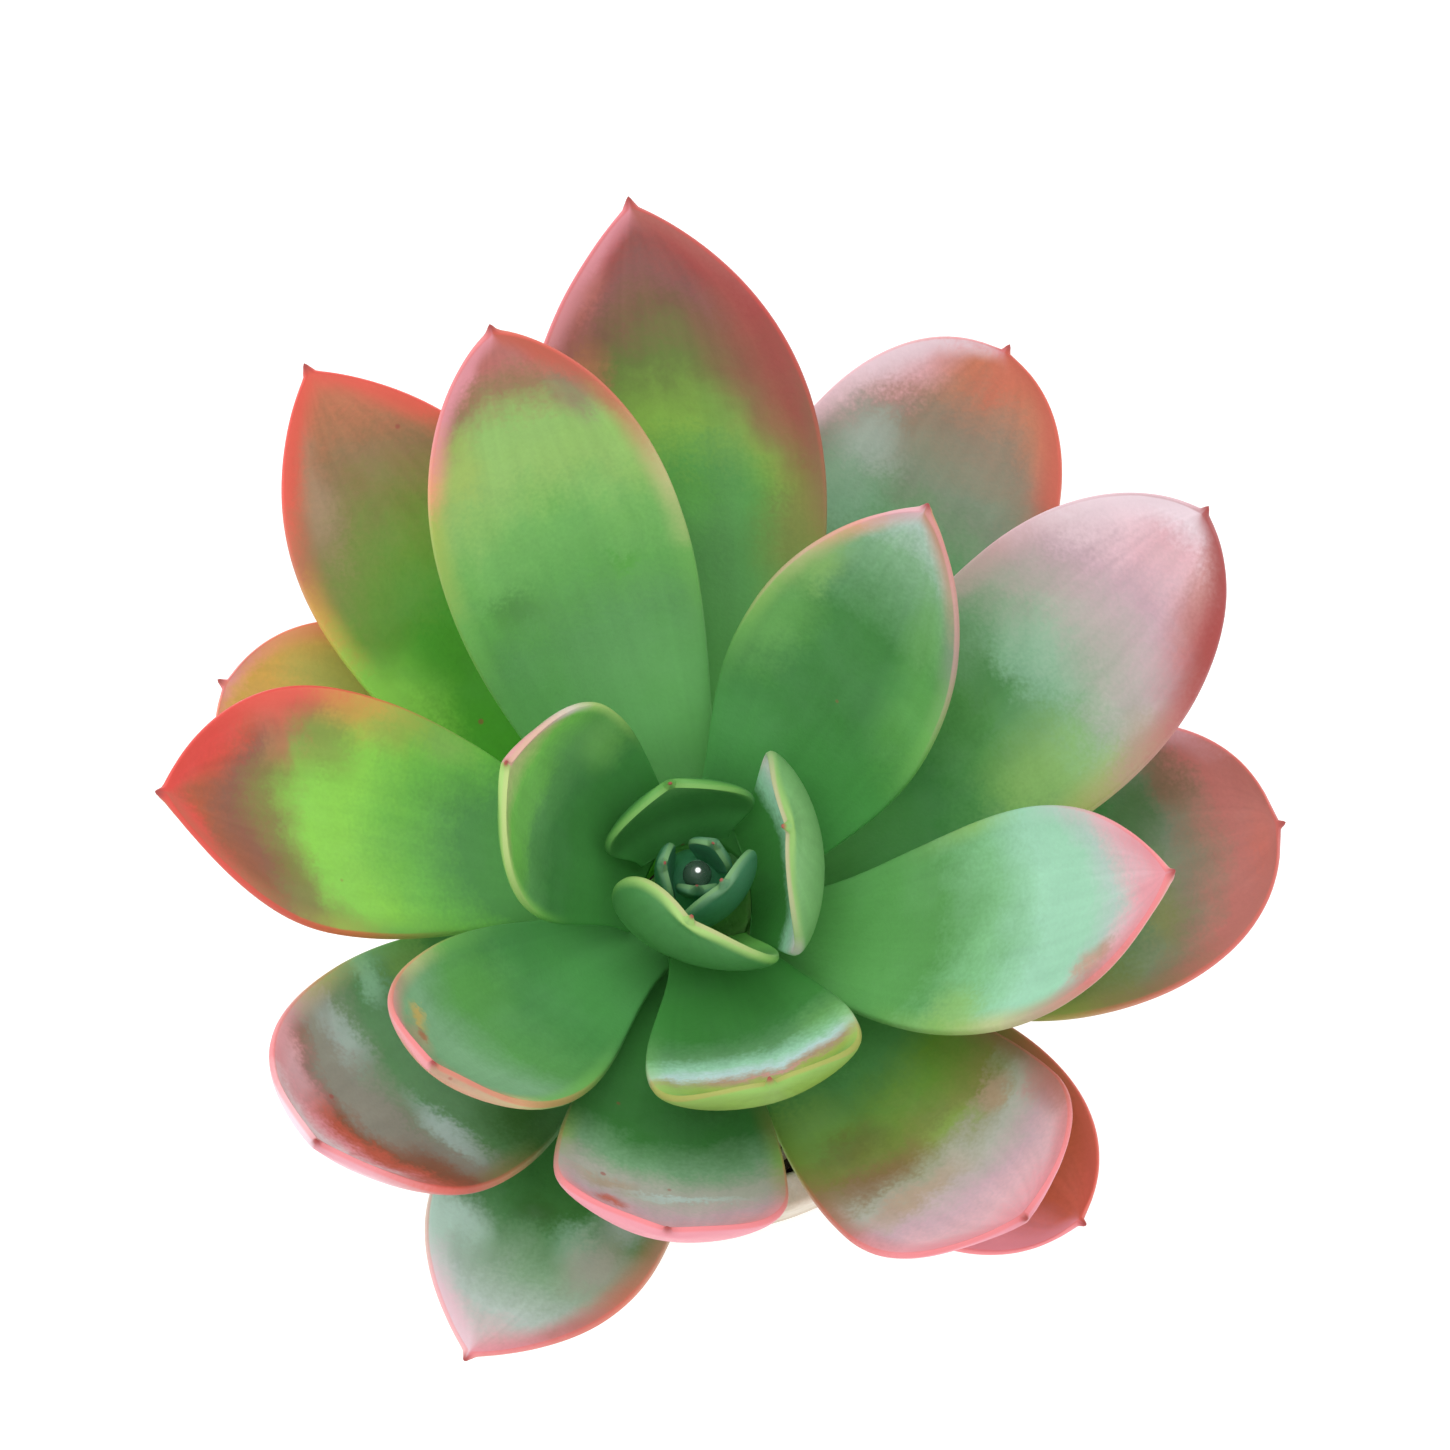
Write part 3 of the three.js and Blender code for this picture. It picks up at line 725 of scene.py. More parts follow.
def sheet(nodes, line, columns):
    """A sheet with a row for each point of a line, the turn of its columns and the number of its rows."""
    rows = nodes.get("GeometryNodeAttributeDomainSize", {"Geometry": line}, "Point Count", component="MESH")
    sizes = {"Size X": 1.0, "Size Y": 1.0, "Vertices X": columns + 1, "Vertices Y": rows}
    grid = nodes.get("GeometryNodeMeshGrid", sizes)
    x, y, _ = nodes.parts(nodes.position())
    return grid, (x + 0.5) * (2 * math.pi), nodes.math("ROUND", (y + 0.5) * (rows - 1.0))


def sample(nodes, line, row, kind, source):
    """What the line's point holds for this row."""
    inputs = {"Geometry": line, "Value": source, "Index": row}
    return nodes.get("GeometryNodeSampleIndex", inputs, "Value", data_type=kind, domain="POINT")


def set_position(nodes, geometry, **moved):
    return nodes.get("GeometryNodeSetPosition", {"Geometry": geometry, **moved})


def weld(nodes, mesh):
    return nodes.get("GeometryNodeMergeByDistance", {"Geometry": mesh, "Distance": WELD * MM})


def store(nodes, geometry, label, value):
    """Keeps a number on every point, for the material to read."""
    inputs = {"Geometry": geometry, "Name": label, "Value": value}
    return nodes.get("GeometryNodeStoreNamedAttribute", inputs, data_type="FLOAT", domain="POINT")


def lathe(nodes, outline, sides):
    """An outline, whose X is a radius and Z a height, turned once round the axis."""
    grid, turn, row = sheet(nodes, outline, sides)
    radius, _, height = nodes.parts(sample(nodes, outline, row, "FLOAT_VECTOR", nodes.position()))
    reached = nodes.combine(radius * nodes.math("COSINE", turn), radius * nodes.math("SINE", turn), height)
    return weld(nodes, set_position(nodes, grid, Position=reached))


def smooth_but_for_edges(nodes, mesh):
    """A mesh shaded smooth, but for its sharp edges."""
    mesh = nodes.get("GeometryNodeSetShadeSmooth", {"Geometry": mesh})
    angle = nodes.get("GeometryNodeInputMeshEdgeAngle", {}, "Unsigned Angle")
    sharp = nodes.math("GREATER_THAN", angle, SHARP_EDGE)
    inputs = {"Geometry": mesh, "Selection": sharp, "Shade Smooth": False}
    return nodes.get("GeometryNodeSetShadeSmooth", inputs, domain="EDGE")


def from_axis(nodes, place):
    """A place's distance from the axis, and its height."""
    x, y, height = nodes.parts(place)
    return nodes.vector("LENGTH", {0: nodes.combine(x, y)}, "Value"), height


# Leaf shape


def stem_radius(height):
    """The stem's radius at a height: a full stalk below the rosette, closing over its top like a dome."""
    share = min(max((height - ROSETTE_FOOT) / ROSETTE_RISE, 0), 1)
    return STEM_TIP_RADIUS + (STEM_RADIUS - STEM_TIP_RADIUS) * math.sqrt(1 - share**2)


def leaf_thickness(order):
    inwards = (order / (PIECES_IN_SPIRAL - 1)) ** 2
    return OUTER_THICK + (INNER_THICK - OUTER_THICK) * inwards


def midrib_rows():
    """Which of the midrib's steps carry a row of points: all of them near the leaf's point."""
    fine_from = MIDRIB_STEPS - FINE_ROWS
    return list(range(0, fine_from, ROW_STEP)) + list(range(fine_from, MIDRIB_STEPS + 1))


def midrib_mesh(leaf, order, outset):
    """The leaf's midrib from the stem out, as loose points with the frame of each row on them, in metres."""
    start = math.radians(SPIRAL_START + SPIRAL_TURN * order + leaf["drift"])
    height = ROSETTE_FOOT + (order + 0.5) * ROSETTE_RISE / PIECES_IN_SPIRAL
    radius = stem_radius(height) + outset
    along = np.linspace(0, 1, MIDRIB_STEPS + 1)
    pitch = np.radians(leaf["rise"] + leaf["curl"] * along**CURL_POWER + leaf["lip"] * along**LIP_POWER)
    heading = start + math.radians(leaf["sway"]) * along
    flat = np.zeros_like(along)
    tangent = np.stack([np.cos(pitch) * np.cos(heading), np.cos(pitch) * np.sin(heading), np.sin(pitch)], 1)
    level = np.stack([-np.sin(heading), np.cos(heading), flat], 1)
    upper = np.cross(tangent, level)
    roll = np.radians(leaf["twist"]) * along[:, None]
    side = level * np.cos(roll) + upper * np.sin(roll)
    normal = upper * np.cos(roll) - level * np.sin(roll)
    foot = [radius * math.cos(start), radius * math.sin(start), height]
    steps = np.cumsum(tangent[:-1] * leaf["length"] / MIDRIB_STEPS, 0)
    place = np.vstack([[0, 0, 0], steps]) + foot
    picked = [0] + midrib_rows()
    mesh = bpy.data.meshes.new("midrib")
    mesh.from_pydata((place[picked] * MM).tolist(), [], [])
    body = np.ones(len(picked))
    body[0] = body[-1] = 0
    for name, kind, key, values in (
        ("along", "FLOAT", "value", along[picked]),
        ("body", "FLOAT", "value", body),
        ("side", "FLOAT_VECTOR", "vector", side[picked]),
        ("normal", "FLOAT_VECTOR", "vector", normal[picked]),
    ):
        attribute = mesh.attributes.new(name, kind, "POINT")
        attribute.data.foreach_set(key, np.ascontiguousarray(values, np.float32).ravel())
    return mesh


def blade_share(nodes, along, base, widest, tip):
    """Half the blade's width, as a share of the widest, from the stem at 0 to the blade's end at 1."""
    rising = nodes.math("MINIMUM", along / widest, 1.0)
    swell = base + (1 - base) * nodes.math("SINE", rising * (math.pi / 2)) ** BASE_TAPER
    past = nodes.math("MAXIMUM", (along - widest) / (1 - widest), 0.0)
    taper = nodes.math("MAXIMUM", 1 - past**SHOULDER_POWER, 0.0) ** tip
    return swell * taper


def leaf_tree():
    """Geometry Nodes: a fleshy leaf round a midrib, full underneath, cupped, with a small hard point."""
    inputs = {
        "Midrib": GEOMETRY,
        "Length": LEAVES[0]["length"] * MM,
        "Width": LEAVES[0]["width"] * MM,
        "Thickness": OUTER_THICK * MM,
        "Cup": math.radians(LEAVES[0]["cup"]),
        "Base share": PLAIN_LEAF["base"],
        "Widest place": PLAIN_LEAF["widest"],
        "Tip power": PLAIN_LEAF["tip"],
        "Ripple": RIPPLE_HEIGHT * MM,
        "Seed": 0.0,
        "Skin": MATERIAL,
    }
    nodes, given = new_tree("fleshy leaf", inputs, {"Leaf": GEOMETRY})
    midrib = given["Midrib"]
    length = given["Length"]
    grid, turn, row = sheet(nodes, midrib, LEAF_SIDES)

    def named(kind, name):
        found = nodes.get("GeometryNodeInputNamedAttribute", {"Name": name}, "Attribute", data_type=kind)
        return sample(nodes, midrib, row, kind, found)

    along = named("FLOAT", "along")
    body = named("FLOAT", "body")
    side = named("FLOAT_VECTOR", "side")
    normal = named("FLOAT_VECTOR", "normal")
    place = sample(nodes, midrib, row, "FLOAT_VECTOR", nodes.position())

    # Half the width at a place along the leaf, where the blade runs out into the point
    to_point = (1 - along) * length / (POINT_LENGTH * MM)
    point = nodes.math("MINIMUM", to_point, 1.0) * (POINT_RADIUS * MM)
    blade_end = 1 - POINT_LENGTH * MM / length

    def half_width(place_along):
        reach = nodes.math("MINIMUM", place_along / blade_end, 1.0)
        share = blade_share(nodes, reach, given["Base share"], given["Widest place"], given["Tip power"])
        return share * given["Width"] / 2

    blade = half_width(along)
    half = nodes.math("SMOOTH_MAX", blade, point, POINT_BLEND * MM) * body
    nearer = SLOPE_STEPS / MIDRIB_STEPS
    slope = (blade - half_width(along - nearer)) / (length * nearer)

    # The section: its thickness at this place, fuller underneath
    nose = nodes.math("SQRT", 1 - nodes.math("MAXIMUM", 1 - (1 - along) / NOSE_LENGTH, 0.0) ** 2.0)
    fullness = nodes.math("MAXIMUM", nodes.math("COSINE", (along - THICKEST) * math.pi), 0.0)
    thick = given["Thickness"] * (THIN_SHARE + (1 - THIN_SHARE) * fullness) * nose
    thick = nodes.math("MAXIMUM", thick, point * 2) * body
    lift = nodes.math("SINE", turn)
    across = nodes.math("COSINE", turn)
    upper = nodes.math("GREATER_THAN", lift, 0.0)
    share = 1 - FACE_SHARE + upper * (2 * FACE_SHARE - 1)
    offset = nodes.math("SIGN", lift) * thick * share * nodes.math("ABSOLUTE", lift) ** MARGIN_ROUND

    # The section bent up in an arc to both edges, and rippled as a whole
    bend = given["Cup"] * (BASE_CUP_SHARE + (1 - BASE_CUP_SHARE) * along)
    angle = bend * across
    radius = half / bend
    sideways = radius * nodes.math("SINE", angle) - offset * nodes.math("SINE", angle)
    upwards = radius * (1 - nodes.math("COSINE", angle)) + offset * nodes.math("COSINE", angle)
    spot = nodes.combine(half * across, along * length, given["Seed"])
    ripple = (nodes.noise(spot, RIPPLE_SIZE * MM, detail=1.0) - 0.5) * given["Ripple"] * 2
    upwards = upwards + ripple * nodes.ease(along, *RIPPLE_START) * nodes.ease(along, *RIPPLE_END)
    aside = nodes.vector("SCALE", {0: side, "Scale": sideways})
    raised = nodes.vector("SCALE", {0: normal, "Scale": upwards})
    reached = nodes.vector("ADD", {0: nodes.vector("ADD", {0: place, 1: aside}), 1: raised})

    # What the skin reads: place along and across, upper or under side, and the distance to the rim
    rim = half * (1 - nodes.math("ABSOLUTE", across)) / nodes.math("SQRT", 1 + slope * slope)
    leaf = grid
    for label, field in (("along", along), ("across", across), ("lift", lift), ("rim", rim)):
        leaf = store(nodes, leaf, label, field)
    leaf = weld(nodes, set_position(nodes, leaf, Position=reached))
    return finish_tree(nodes, nodes.get("GeometryNodeSetShadeSmooth", {"Geometry": leaf}), given["Skin"])


LEAF_TREE = leaf_tree()


def make_leaf(name, leaf, order, skin, sink=None):
    """One leaf of the spiral, standing clear of the stem, or sunk into it where sink is given."""
    leaf = {**PLAIN_LEAF, **leaf}
    thick = leaf_thickness(order)
    outset = -sink if sink else SEAT_GAP + thick * FACE_SHARE * math.sin(math.radians(leaf["rise"]))
    values = {
        "Length": leaf["length"] * MM,
        "Width": leaf["width"] * MM,
        "Thickness": thick * MM,
        "Cup": math.radians(leaf["cup"]),
        "Base share": leaf["base"],
        "Widest place": leaf["widest"],
        "Tip power": leaf["tip"],
        "Ripple": 0.0 if sink else RIPPLE_HEIGHT * MM * leaf["length"] / LEAVES[0]["length"],
        "Seed": float(order),
        "Skin": skin,
    }
    return grow(name, LEAF_TREE, midrib_mesh(leaf, order, outset), values)


# Pot, soil and stem


def outline_mesh(points):
    """An outline of radius and height, in millimetres, as loose points for the lathe."""
    mesh = bpy.data.meshes.new("outline")
    mesh.from_pydata([(radius * MM, 0, height * MM) for radius, height in points], [], [])
    return mesh


def pot_outside(height):
    band_foot_radius = RIM_RADIUS - BAND_TAPER - BAND_STEP
    return FOOT_RADIUS + (band_foot_radius - FOOT_RADIUS) * height / (POT_HEIGHT - BAND_HEIGHT)


def pot_inside(height):
    return pot_outside(height) - POT_WALL


def rounded_edge(radius, height, outward, upward):
    """A rounded edge, from the flat at this height out to the wall at this radius."""
    points = []
    for i in range(EDGE_STEPS + 1):
        angle = math.pi / 2 * i / EDGE_STEPS
        across = radius - outward * EDGE_ROUND * (1 - math.sin(angle))
        points.append((across, height + upward * EDGE_ROUND * (1 - math.cos(angle))))
    return points


def between(first, last, steps):
    """Points on a straight stretch of an outline, without its ends."""
    shares = [i / steps for i in range(1, steps)]
    return [(first[0] + (last[0] - first[0]) * s, first[1] + (last[1] - first[1]) * s) for s in shares]


def pot_outline():
    band_foot = POT_HEIGHT - BAND_HEIGHT
    foot = rounded_edge(FOOT_RADIUS, 0, 1, 1)
    step = rounded_edge(RIM_RADIUS - BAND_TAPER, band_foot, 1, 1)
    rim = rounded_edge(RIM_RADIUS, POT_HEIGHT, 1, -1)[::-1]
    mouth = rounded_edge(pot_inside(POT_HEIGHT), POT_HEIGHT, -1, -1)
    outside = [(0, 0), *foot, (pot_outside(band_foot), band_foot), *step, *rim]
    return [*outside, *mouth, (pot_inside(POT_FLOOR), POT_FLOOR), (0, POT_FLOOR)]


def pot_tree():
    """Geometry Nodes: a turned pot with drainage holes through its floor."""
    inputs = {
        "Outline": GEOMETRY,
        "Drain circle": DRAIN_CIRCLE * MM,
        "Drain radius": DRAIN_RADIUS * MM,
        "Cutter depth": DRAIN_CUTTER * MM,
        "Clay": MATERIAL,
    }
    nodes, given = new_tree("turned pot", inputs, {"Pot": GEOMETRY})
    wall = lathe(nodes, given["Outline"], POT_SIDES)
    circle = nodes.get("GeometryNodeMeshCircle", {"Vertices": DRAIN_HOLES, "Radius": given["Drain circle"]})
    sizes = {"Vertices": DRAIN_SIDES, "Radius": given["Drain radius"], "Depth": given["Cutter depth"]}
    cutter = nodes.get("GeometryNodeMeshCylinder", sizes)
    cutters = nodes.get("GeometryNodeInstanceOnPoints", {"Points": circle, "Instance": cutter})
    cutters = nodes.get("GeometryNodeRealizeInstances", {"Geometry": cutters})
    cut = nodes.get("GeometryNodeMeshBoolean", {"Mesh 1": wall, "Mesh 2": cutters}, operation="DIFFERENCE")
    return finish_tree(nodes, smooth_but_for_edges(nodes, cut), given["Clay"])


def soil_outline():
    edge_radius = pot_inside(SOIL_EDGE) - SEAT_GAP
    hole_radius = STEM_RADIUS + SEAT_GAP
    foot = POT_FLOOR + SEAT_GAP
    points = [(0, foot), (pot_inside(foot) - SEAT_GAP, foot)]
    for i in range(SOIL_ROWS + 1):
        share = i / SOIL_ROWS
        radius = edge_radius + (hole_radius - edge_radius) * share
        points.append((radius, SOIL_EDGE + SOIL_DOME * math.sin(math.pi / 2 * share)))
    return points + [(ROOT_RADIUS + SEAT_GAP, ROOT_FOOT - SEAT_GAP), (0, ROOT_FOOT - SEAT_GAP)]


def soil_tree():
    """Geometry Nodes: the soil, lumpy on top."""
    inputs = {
        "Outline": GEOMETRY,
        "Lump height": LUMP_HEIGHT * MM,
        "Lump size": LUMP_SIZE * MM,
        "Soil": MATERIAL,
    }
    nodes, given = new_tree("soil surface", inputs, {"Soil body": GEOMETRY})
    body = lathe(nodes, given["Outline"], POT_SIDES)
    place = nodes.position()
    radius, height = from_axis(nodes, place)
    edge_radius = pot_inside(SOIL_EDGE)
    free = nodes.ease(radius, (edge_radius - SEAT_GAP) * MM, (edge_radius - LUMP_SIZE) * MM)
    free = free * nodes.ease(radius, (STEM_RADIUS + SEAT_GAP) * MM, (STEM_RADIUS + LUMP_SIZE) * MM)
    on_top = nodes.math("GREATER_THAN", height, (SOIL_EDGE - SEAT_GAP) * MM)
    lump = nodes.noise(place, given["Lump size"], detail=4.0)
    lift = (lump - 0.5) * 2 * given["Lump height"] * free * on_top
    body = set_position(nodes, body, Offset=nodes.combine(z=lift))
    return finish_tree(nodes, smooth_but_for_edges(nodes, body), given["Soil"])


def grit_tree():
    """Geometry Nodes: grains scattered over the top of the soil, each its own size, turn and tone."""
    margin = GRAIN_RADIUS * GRAIN_MARGIN
    inputs = {
        "Soil body": GEOMETRY,
        "Grains per square metre": GRAINS_PER_CM2 * CM2_PER_M2,
        "Grain radius": GRAIN_RADIUS * MM,
        "Inner edge": (STEM_RADIUS + margin) * MM,
        "Outer edge": (pot_inside(SOIL_EDGE) - margin) * MM,
        "Seed": GRIT_SEED,
        "Grit": MATERIAL,
    }
    nodes, given = new_tree("grit", inputs, {"Grains": GEOMETRY})
    place = nodes.position()
    radius, height = from_axis(nodes, place)
    inside = nodes.math("LESS_THAN", radius, given["Outer edge"])
    inside = inside * nodes.math("GREATER_THAN", radius, given["Inner edge"])
    inside = inside * nodes.math("GREATER_THAN", height, (SOIL_EDGE - SOIL_BELOW_RIM) * MM)
    spread = {"Mesh": given["Soil body"], "Selection": inside, "Density": given["Grains per square metre"]}
    points = nodes.get("GeometryNodeDistributePointsOnFaces", {**spread, "Seed": given["Seed"]})

    def chance(low, high, kind, offset):
        inputs = {"Min": low, "Max": high, "Seed": given["Seed"] + float(offset)}
        return nodes.get("FunctionNodeRandomValue", inputs, "Value", data_type=kind)

    points = store(nodes, points, "tone", chance(0.0, 1.0, "FLOAT", 1))
    ball = nodes.get("GeometryNodeMeshIcoSphere", {"Radius": given["Grain radius"], "Subdivisions": 1})
    inputs = {
        "Points": points,
        "Instance": ball,
        "Rotation": chance((0, 0, 0), FULL_TURN, "FLOAT_VECTOR", 2),
        "Scale": chance(GRAIN_LEAST, GRAIN_MOST, "FLOAT_VECTOR", 3),
    }
    grains = nodes.get("GeometryNodeInstanceOnPoints", inputs)
    grains = nodes.get("GeometryNodeRealizeInstances", {"Geometry": grains})
    rough = nodes.noise(place, GRAIN_RADIUS * MM, output="Color")
    push = nodes.vector("SUBTRACT", {0: rough, 1: (0.5, 0.5, 0.5)})
    push = nodes.vector("SCALE", {0: push, "Scale": given["Grain radius"]})
    return finish_tree(nodes, set_position(nodes, grains, Offset=push), given["Grit"])


def dome_outline(low, high):
    """The growing end's outline between two heights, which closes like a dome."""
    heights = [low + (high - low) * i / DOME_RINGS for i in range(DOME_RINGS + 1)]
    return [(stem_radius(height), height) for height in heights]


def stem_outline():
    soil_top = SOIL_EDGE + SOIL_DOME
    dome = dome_outline(ROSETTE_FOOT, HEART_FOOT - SEAT_GAP)
    root = [(0, ROOT_FOOT), (ROOT_RADIUS, ROOT_FOOT)]
    rooted = between(root[1], (STEM_RADIUS, soil_top), STEM_ROWS)
    bare = between((STEM_RADIUS, soil_top), dome[0], STEM_ROWS)
    return [*root, *rooted, (STEM_RADIUS, soil_top), *bare, *dome, (0, dome[-1][1])]


def stem_tree():
    """Geometry Nodes: a stalk with scars where old leaves have dropped."""
    inputs = {
        "Outline": GEOMETRY,
        "Scar depth": SCAR_DEPTH * MM,
        "Scar size": SCAR_SIZE * MM,
        "Husk": MATERIAL,
    }
    nodes, given = new_tree("scarred stem", inputs, {"Stem": GEOMETRY})
    stalk = lathe(nodes, given["Outline"], STEM_SIDES)
    scale = 1 / given["Scar size"]
    near = nodes.get("ShaderNodeTexVoronoi", {"Vector": nodes.position(), "Scale": scale}, "Distance")
    depth = nodes.ease(near, *SCAR_EDGE) * given["Scar depth"]
    normal = nodes.get("GeometryNodeInputNormal", {})
    sunk = nodes.vector("SCALE", {0: normal, "Scale": 0.0 - depth})
    stalk = set_position(nodes, stalk, Offset=sunk)
    return finish_tree(nodes, smooth_but_for_edges(nodes, stalk), given["Husk"])


def turned_tree():
    """Geometry Nodes: a plain turned body."""
    nodes, given = new_tree("turned body", {"Outline": GEOMETRY, "Finish": MATERIAL}, {"Body": GEOMETRY})
    body = lathe(nodes, given["Outline"], STEM_SIDES)
    return finish_tree(nodes, smooth_but_for_edges(nodes, body), given["Finish"])


# Materials


def new_material(name):
    """A new material, its nodes, its shader's inputs and the object's own coordinates."""
    material = bpy.data.materials.new(name)
    material.use_nodes = True
    nodes = Nodes(material.node_tree)
    shader = material.node_tree.nodes["Principled BSDF"].inputs
    return material, nodes, shader, nodes.get("ShaderNodeTexCoord", {}, "Object")


def read(nodes, label):
    """What a tree has stored on the mesh under that name."""
    return nodes.get("ShaderNodeAttribute", {}, "Fac", attribute_name=label)


def finish(nodes, shader, look, shade, texture, relief=None):
    """Gives a shader its colour, its roughness by a texture, and a relief where it has one."""
    nodes.feed(shader["Base Color"], shade)
    nodes.feed(shader["Roughness"], look["roughness"] + texture * look["uneven"])
    if relief is not None:
        bump = {"Height": relief, "Strength": 1.0, "Distance": look["depth"] * MM}
        nodes.feed(shader["Normal"], nodes.get("ShaderNodeBump", bump))


def wash_group():
    """A shader group: a soft oval patch of one colour on the skin, by its place along and across the leaf."""
    numbers = dict.fromkeys(("Along", "Across", *WASH_INPUTS), 1.0)
    inputs = {"Below": COLOUR, "Colour": COLOUR, **numbers}
    nodes, given = new_tree("wash", inputs, {"Washed": COLOUR}, "ShaderNodeTree")
    forward = (given["Along"] - given["Place along"]) / given["Reach along"]
    aside = (given["Across"] - given["Place across"]) / given["Reach across"]
    away = nodes.math("SQRT", forward * forward + aside * aside)
    share = nodes.ease(away, 1 + WASH_SOFTNESS, 1 - WASH_SOFTNESS) * given["Strength"]
    nodes.add("NodeGroupOutput", {0: nodes.blend(share, given["Below"], given["Colour"])})
    return nodes.tree


WASH = wash_group()


def leaf_skin(name, width):
    """Waxy skin: a run of shades, washes, streaks, a powdery bloom, a soft margin and a thin edge."""
    paint = {**PLAIN_PAINT, **PAINTS[name]}
    fineness = max(width / RIM_WIDTH_OF, RIM_LEAST)
    material, nodes, shader, place = new_material(name + "_skin")
    along, across, lift, rim = [read(nodes, label) for label in ("along", "across", "lift", "rim")]
    rim = rim / MM

    # The run and its washes, with uneven edges: three unlike patterns of blotches, and the grain of the wax
    pattern = nodes.noise(place, BLOTCH_SIZE * MM, BLOTCH_DETAIL, BLOTCH_ROUGHNESS, BLOTCH_TWIST, "Color")
    first, second, third = nodes.parts(pattern, "ShaderNodeSeparateColor")
    grain = nodes.noise(place, SKIN_LOOK["size"] * MM, detail=1.0)
    uneven_along = along + (first - 0.5) * BLOTCH_ALONG + (grain - 0.5) * GRAIN_ALONG
    uneven_across = across + (second - 0.5) * BLOTCH_ACROSS + (grain - 0.5) * GRAIN_ACROSS
    skin = nodes.ramp(uneven_along + across * across * paint["tongue"], paint["run"])
    for shade, *numbers in paint["washes"]:
        inputs = {"Below": skin, "Colour": colour(shade), "Along": uneven_along, "Across": uneven_across}
        skin = nodes.get("ShaderNodeGroup", {**inputs, **dict(zip(WASH_INPUTS, numbers))}, node_tree=WASH)

    # The lower side, whose own shade comes in along the leaf
    below = nodes.ease(lift, *UNDERSIDE) * UNDER_SHARE
    below = below * nodes.ease(along, paint["under_from"], paint["under_from"] + UNDER_REACH)
    skin = nodes.blend(below, skin, colour(paint["under"]))

    # Faint streaks along the leaf, blotches and grain, and painted light at the heel against the shade deep
    # in the rosette
    streak = nodes.noise(nodes.combine(across * STREAKS_ACROSS, along * STREAKS_ALONG), size=1.0)
    tone = 1 + (streak - 0.5) * STREAK_TONE + (third - 0.5) * BLOTCH_TONE + (grain - 0.5) * GRAIN_TONE
    skin = nodes.tint(skin, tone + nodes.ease(along, *HEEL) * HEEL_PAINTED_LIGHT)

    # The powdery bloom, rubbed off in places
    patches = nodes.noise(place, BLOOM_SIZE * MM, detail=4.0, roughness=0.65)
    veil = nodes.ease(patches, *BLOOM_EDGE) * paint["bloom"]
    skin = nodes.blend(veil, skin, colour("pale_mint"))

    # The margin: a soft band that has its own run on each side of the leaf
    band_width = RIM_BAND * fineness * paint["rim_width"] * (BAND_LEAST + second * BAND_UNEVEN)
    band = nodes.ease(rim / band_width, *BAND_FADE) * nodes.ease(along, *MARGIN_ALONG) * paint["rim_strength"]
    clockwise = nodes.ramp(uneven_along, paint["clockwise_rim"] or paint["rim"])
    anticlockwise = nodes.ramp(uneven_along, paint["rim"])
    skin = nodes.blend(band, skin, nodes.blend(nodes.ease(across, *MARGIN_SIDES), clockwise, anticlockwise))

    # The thin line on the edge itself, and the dark point
    line_width = RIM_LINE * fineness * (LINE_LEAST + first)
    edge = nodes.ease(rim / line_width, *LINE_FADE) * nodes.ease(lift, *LINE_LIFT) * paint["line_strength"]
    edge = edge * nodes.ease(along, paint["line_from"] - LINE_REACH, paint["line_from"] + LINE_REACH)
    skin = nodes.blend(edge, skin, colour(paint["line"]))
    skin = nodes.blend(nodes.ease(along, POINT_START, 1.0), skin, colour("wine"))

    # A few small dark spots
    cells = nodes.add("ShaderNodeTexVoronoi", {"Vector": place, "Scale": 1 / (SPOT_SPACING * MM)}).outputs
    near = Value(nodes, cells["Distance"]) * SPOT_SPACING
    chosen = nodes.parts(Value(nodes, cells["Color"]), "ShaderNodeSeparateColor")[0]
    spot = nodes.ease(near, SPOT_RADIUS, SPOT_RADIUS / 2)
    spot = spot * nodes.math("GREATER_THAN", chosen, SPOT_RARITY) * SPOT_SHARE
    skin = nodes.blend(spot, skin, colour("wine"))

    finish(nodes, shader, SKIN_LOOK, skin, third + veil * BLOOM_DULLNESS, grain)
    shader["Specular IOR Level"].default_value = SKIN_SPECULAR
    return material


def clay_finish():
    """Pale fired clay with turning marks, speckles and lime bloom."""
    material, nodes, shader, place = new_material("pale_clay")
    height = nodes.parts(place)[2]
    patches = nodes.noise(place, CLAY_PATCH * MM, detail=6.0, roughness=0.6)
    speckle = nodes.noise(place, CLAY_LOOK["size"] * MM, roughness=0.6)
    wobble = height / (TURNING_MARK * MM) + patches * MARK_WOBBLE
    marks = nodes.math("SINE", wobble * (2 * math.pi)) * 0.5 + 0.5
    shade = nodes.blend(nodes.ease(patches, *SOFT_EDGE), colour("clay_shadow"), colour("clay"))
    lime = nodes.ease(nodes.noise(place, LIME_PATCH * MM, detail=7.0, roughness=0.7), *LIME_EDGE)
    shade = nodes.blend(lime * LIME_SHARE, shade, colour("lime_bloom"))
    tone = CLAY_TONE + marks * MARK_TONE + nodes.ease(speckle, *SPECKLE_EDGE) * SPECKLE_TONE
    finish(nodes, shader, CLAY_LOOK, nodes.tint(shade, tone), speckle, marks * 0.5 + speckle * 0.5)
    return material


def loam_finish():
    """Dark potting mix between the grains."""
    material, nodes, shader, place = new_material("loam")
    crumbs = nodes.noise(place, LOAM_LOOK["size"] * MM, detail=6.0, roughness=0.7)
    shade = nodes.blend(crumbs, colour("humus"), colour("loam"))
    finish(nodes, shader, LOAM_LOOK, shade, crumbs, crumbs)
    return material


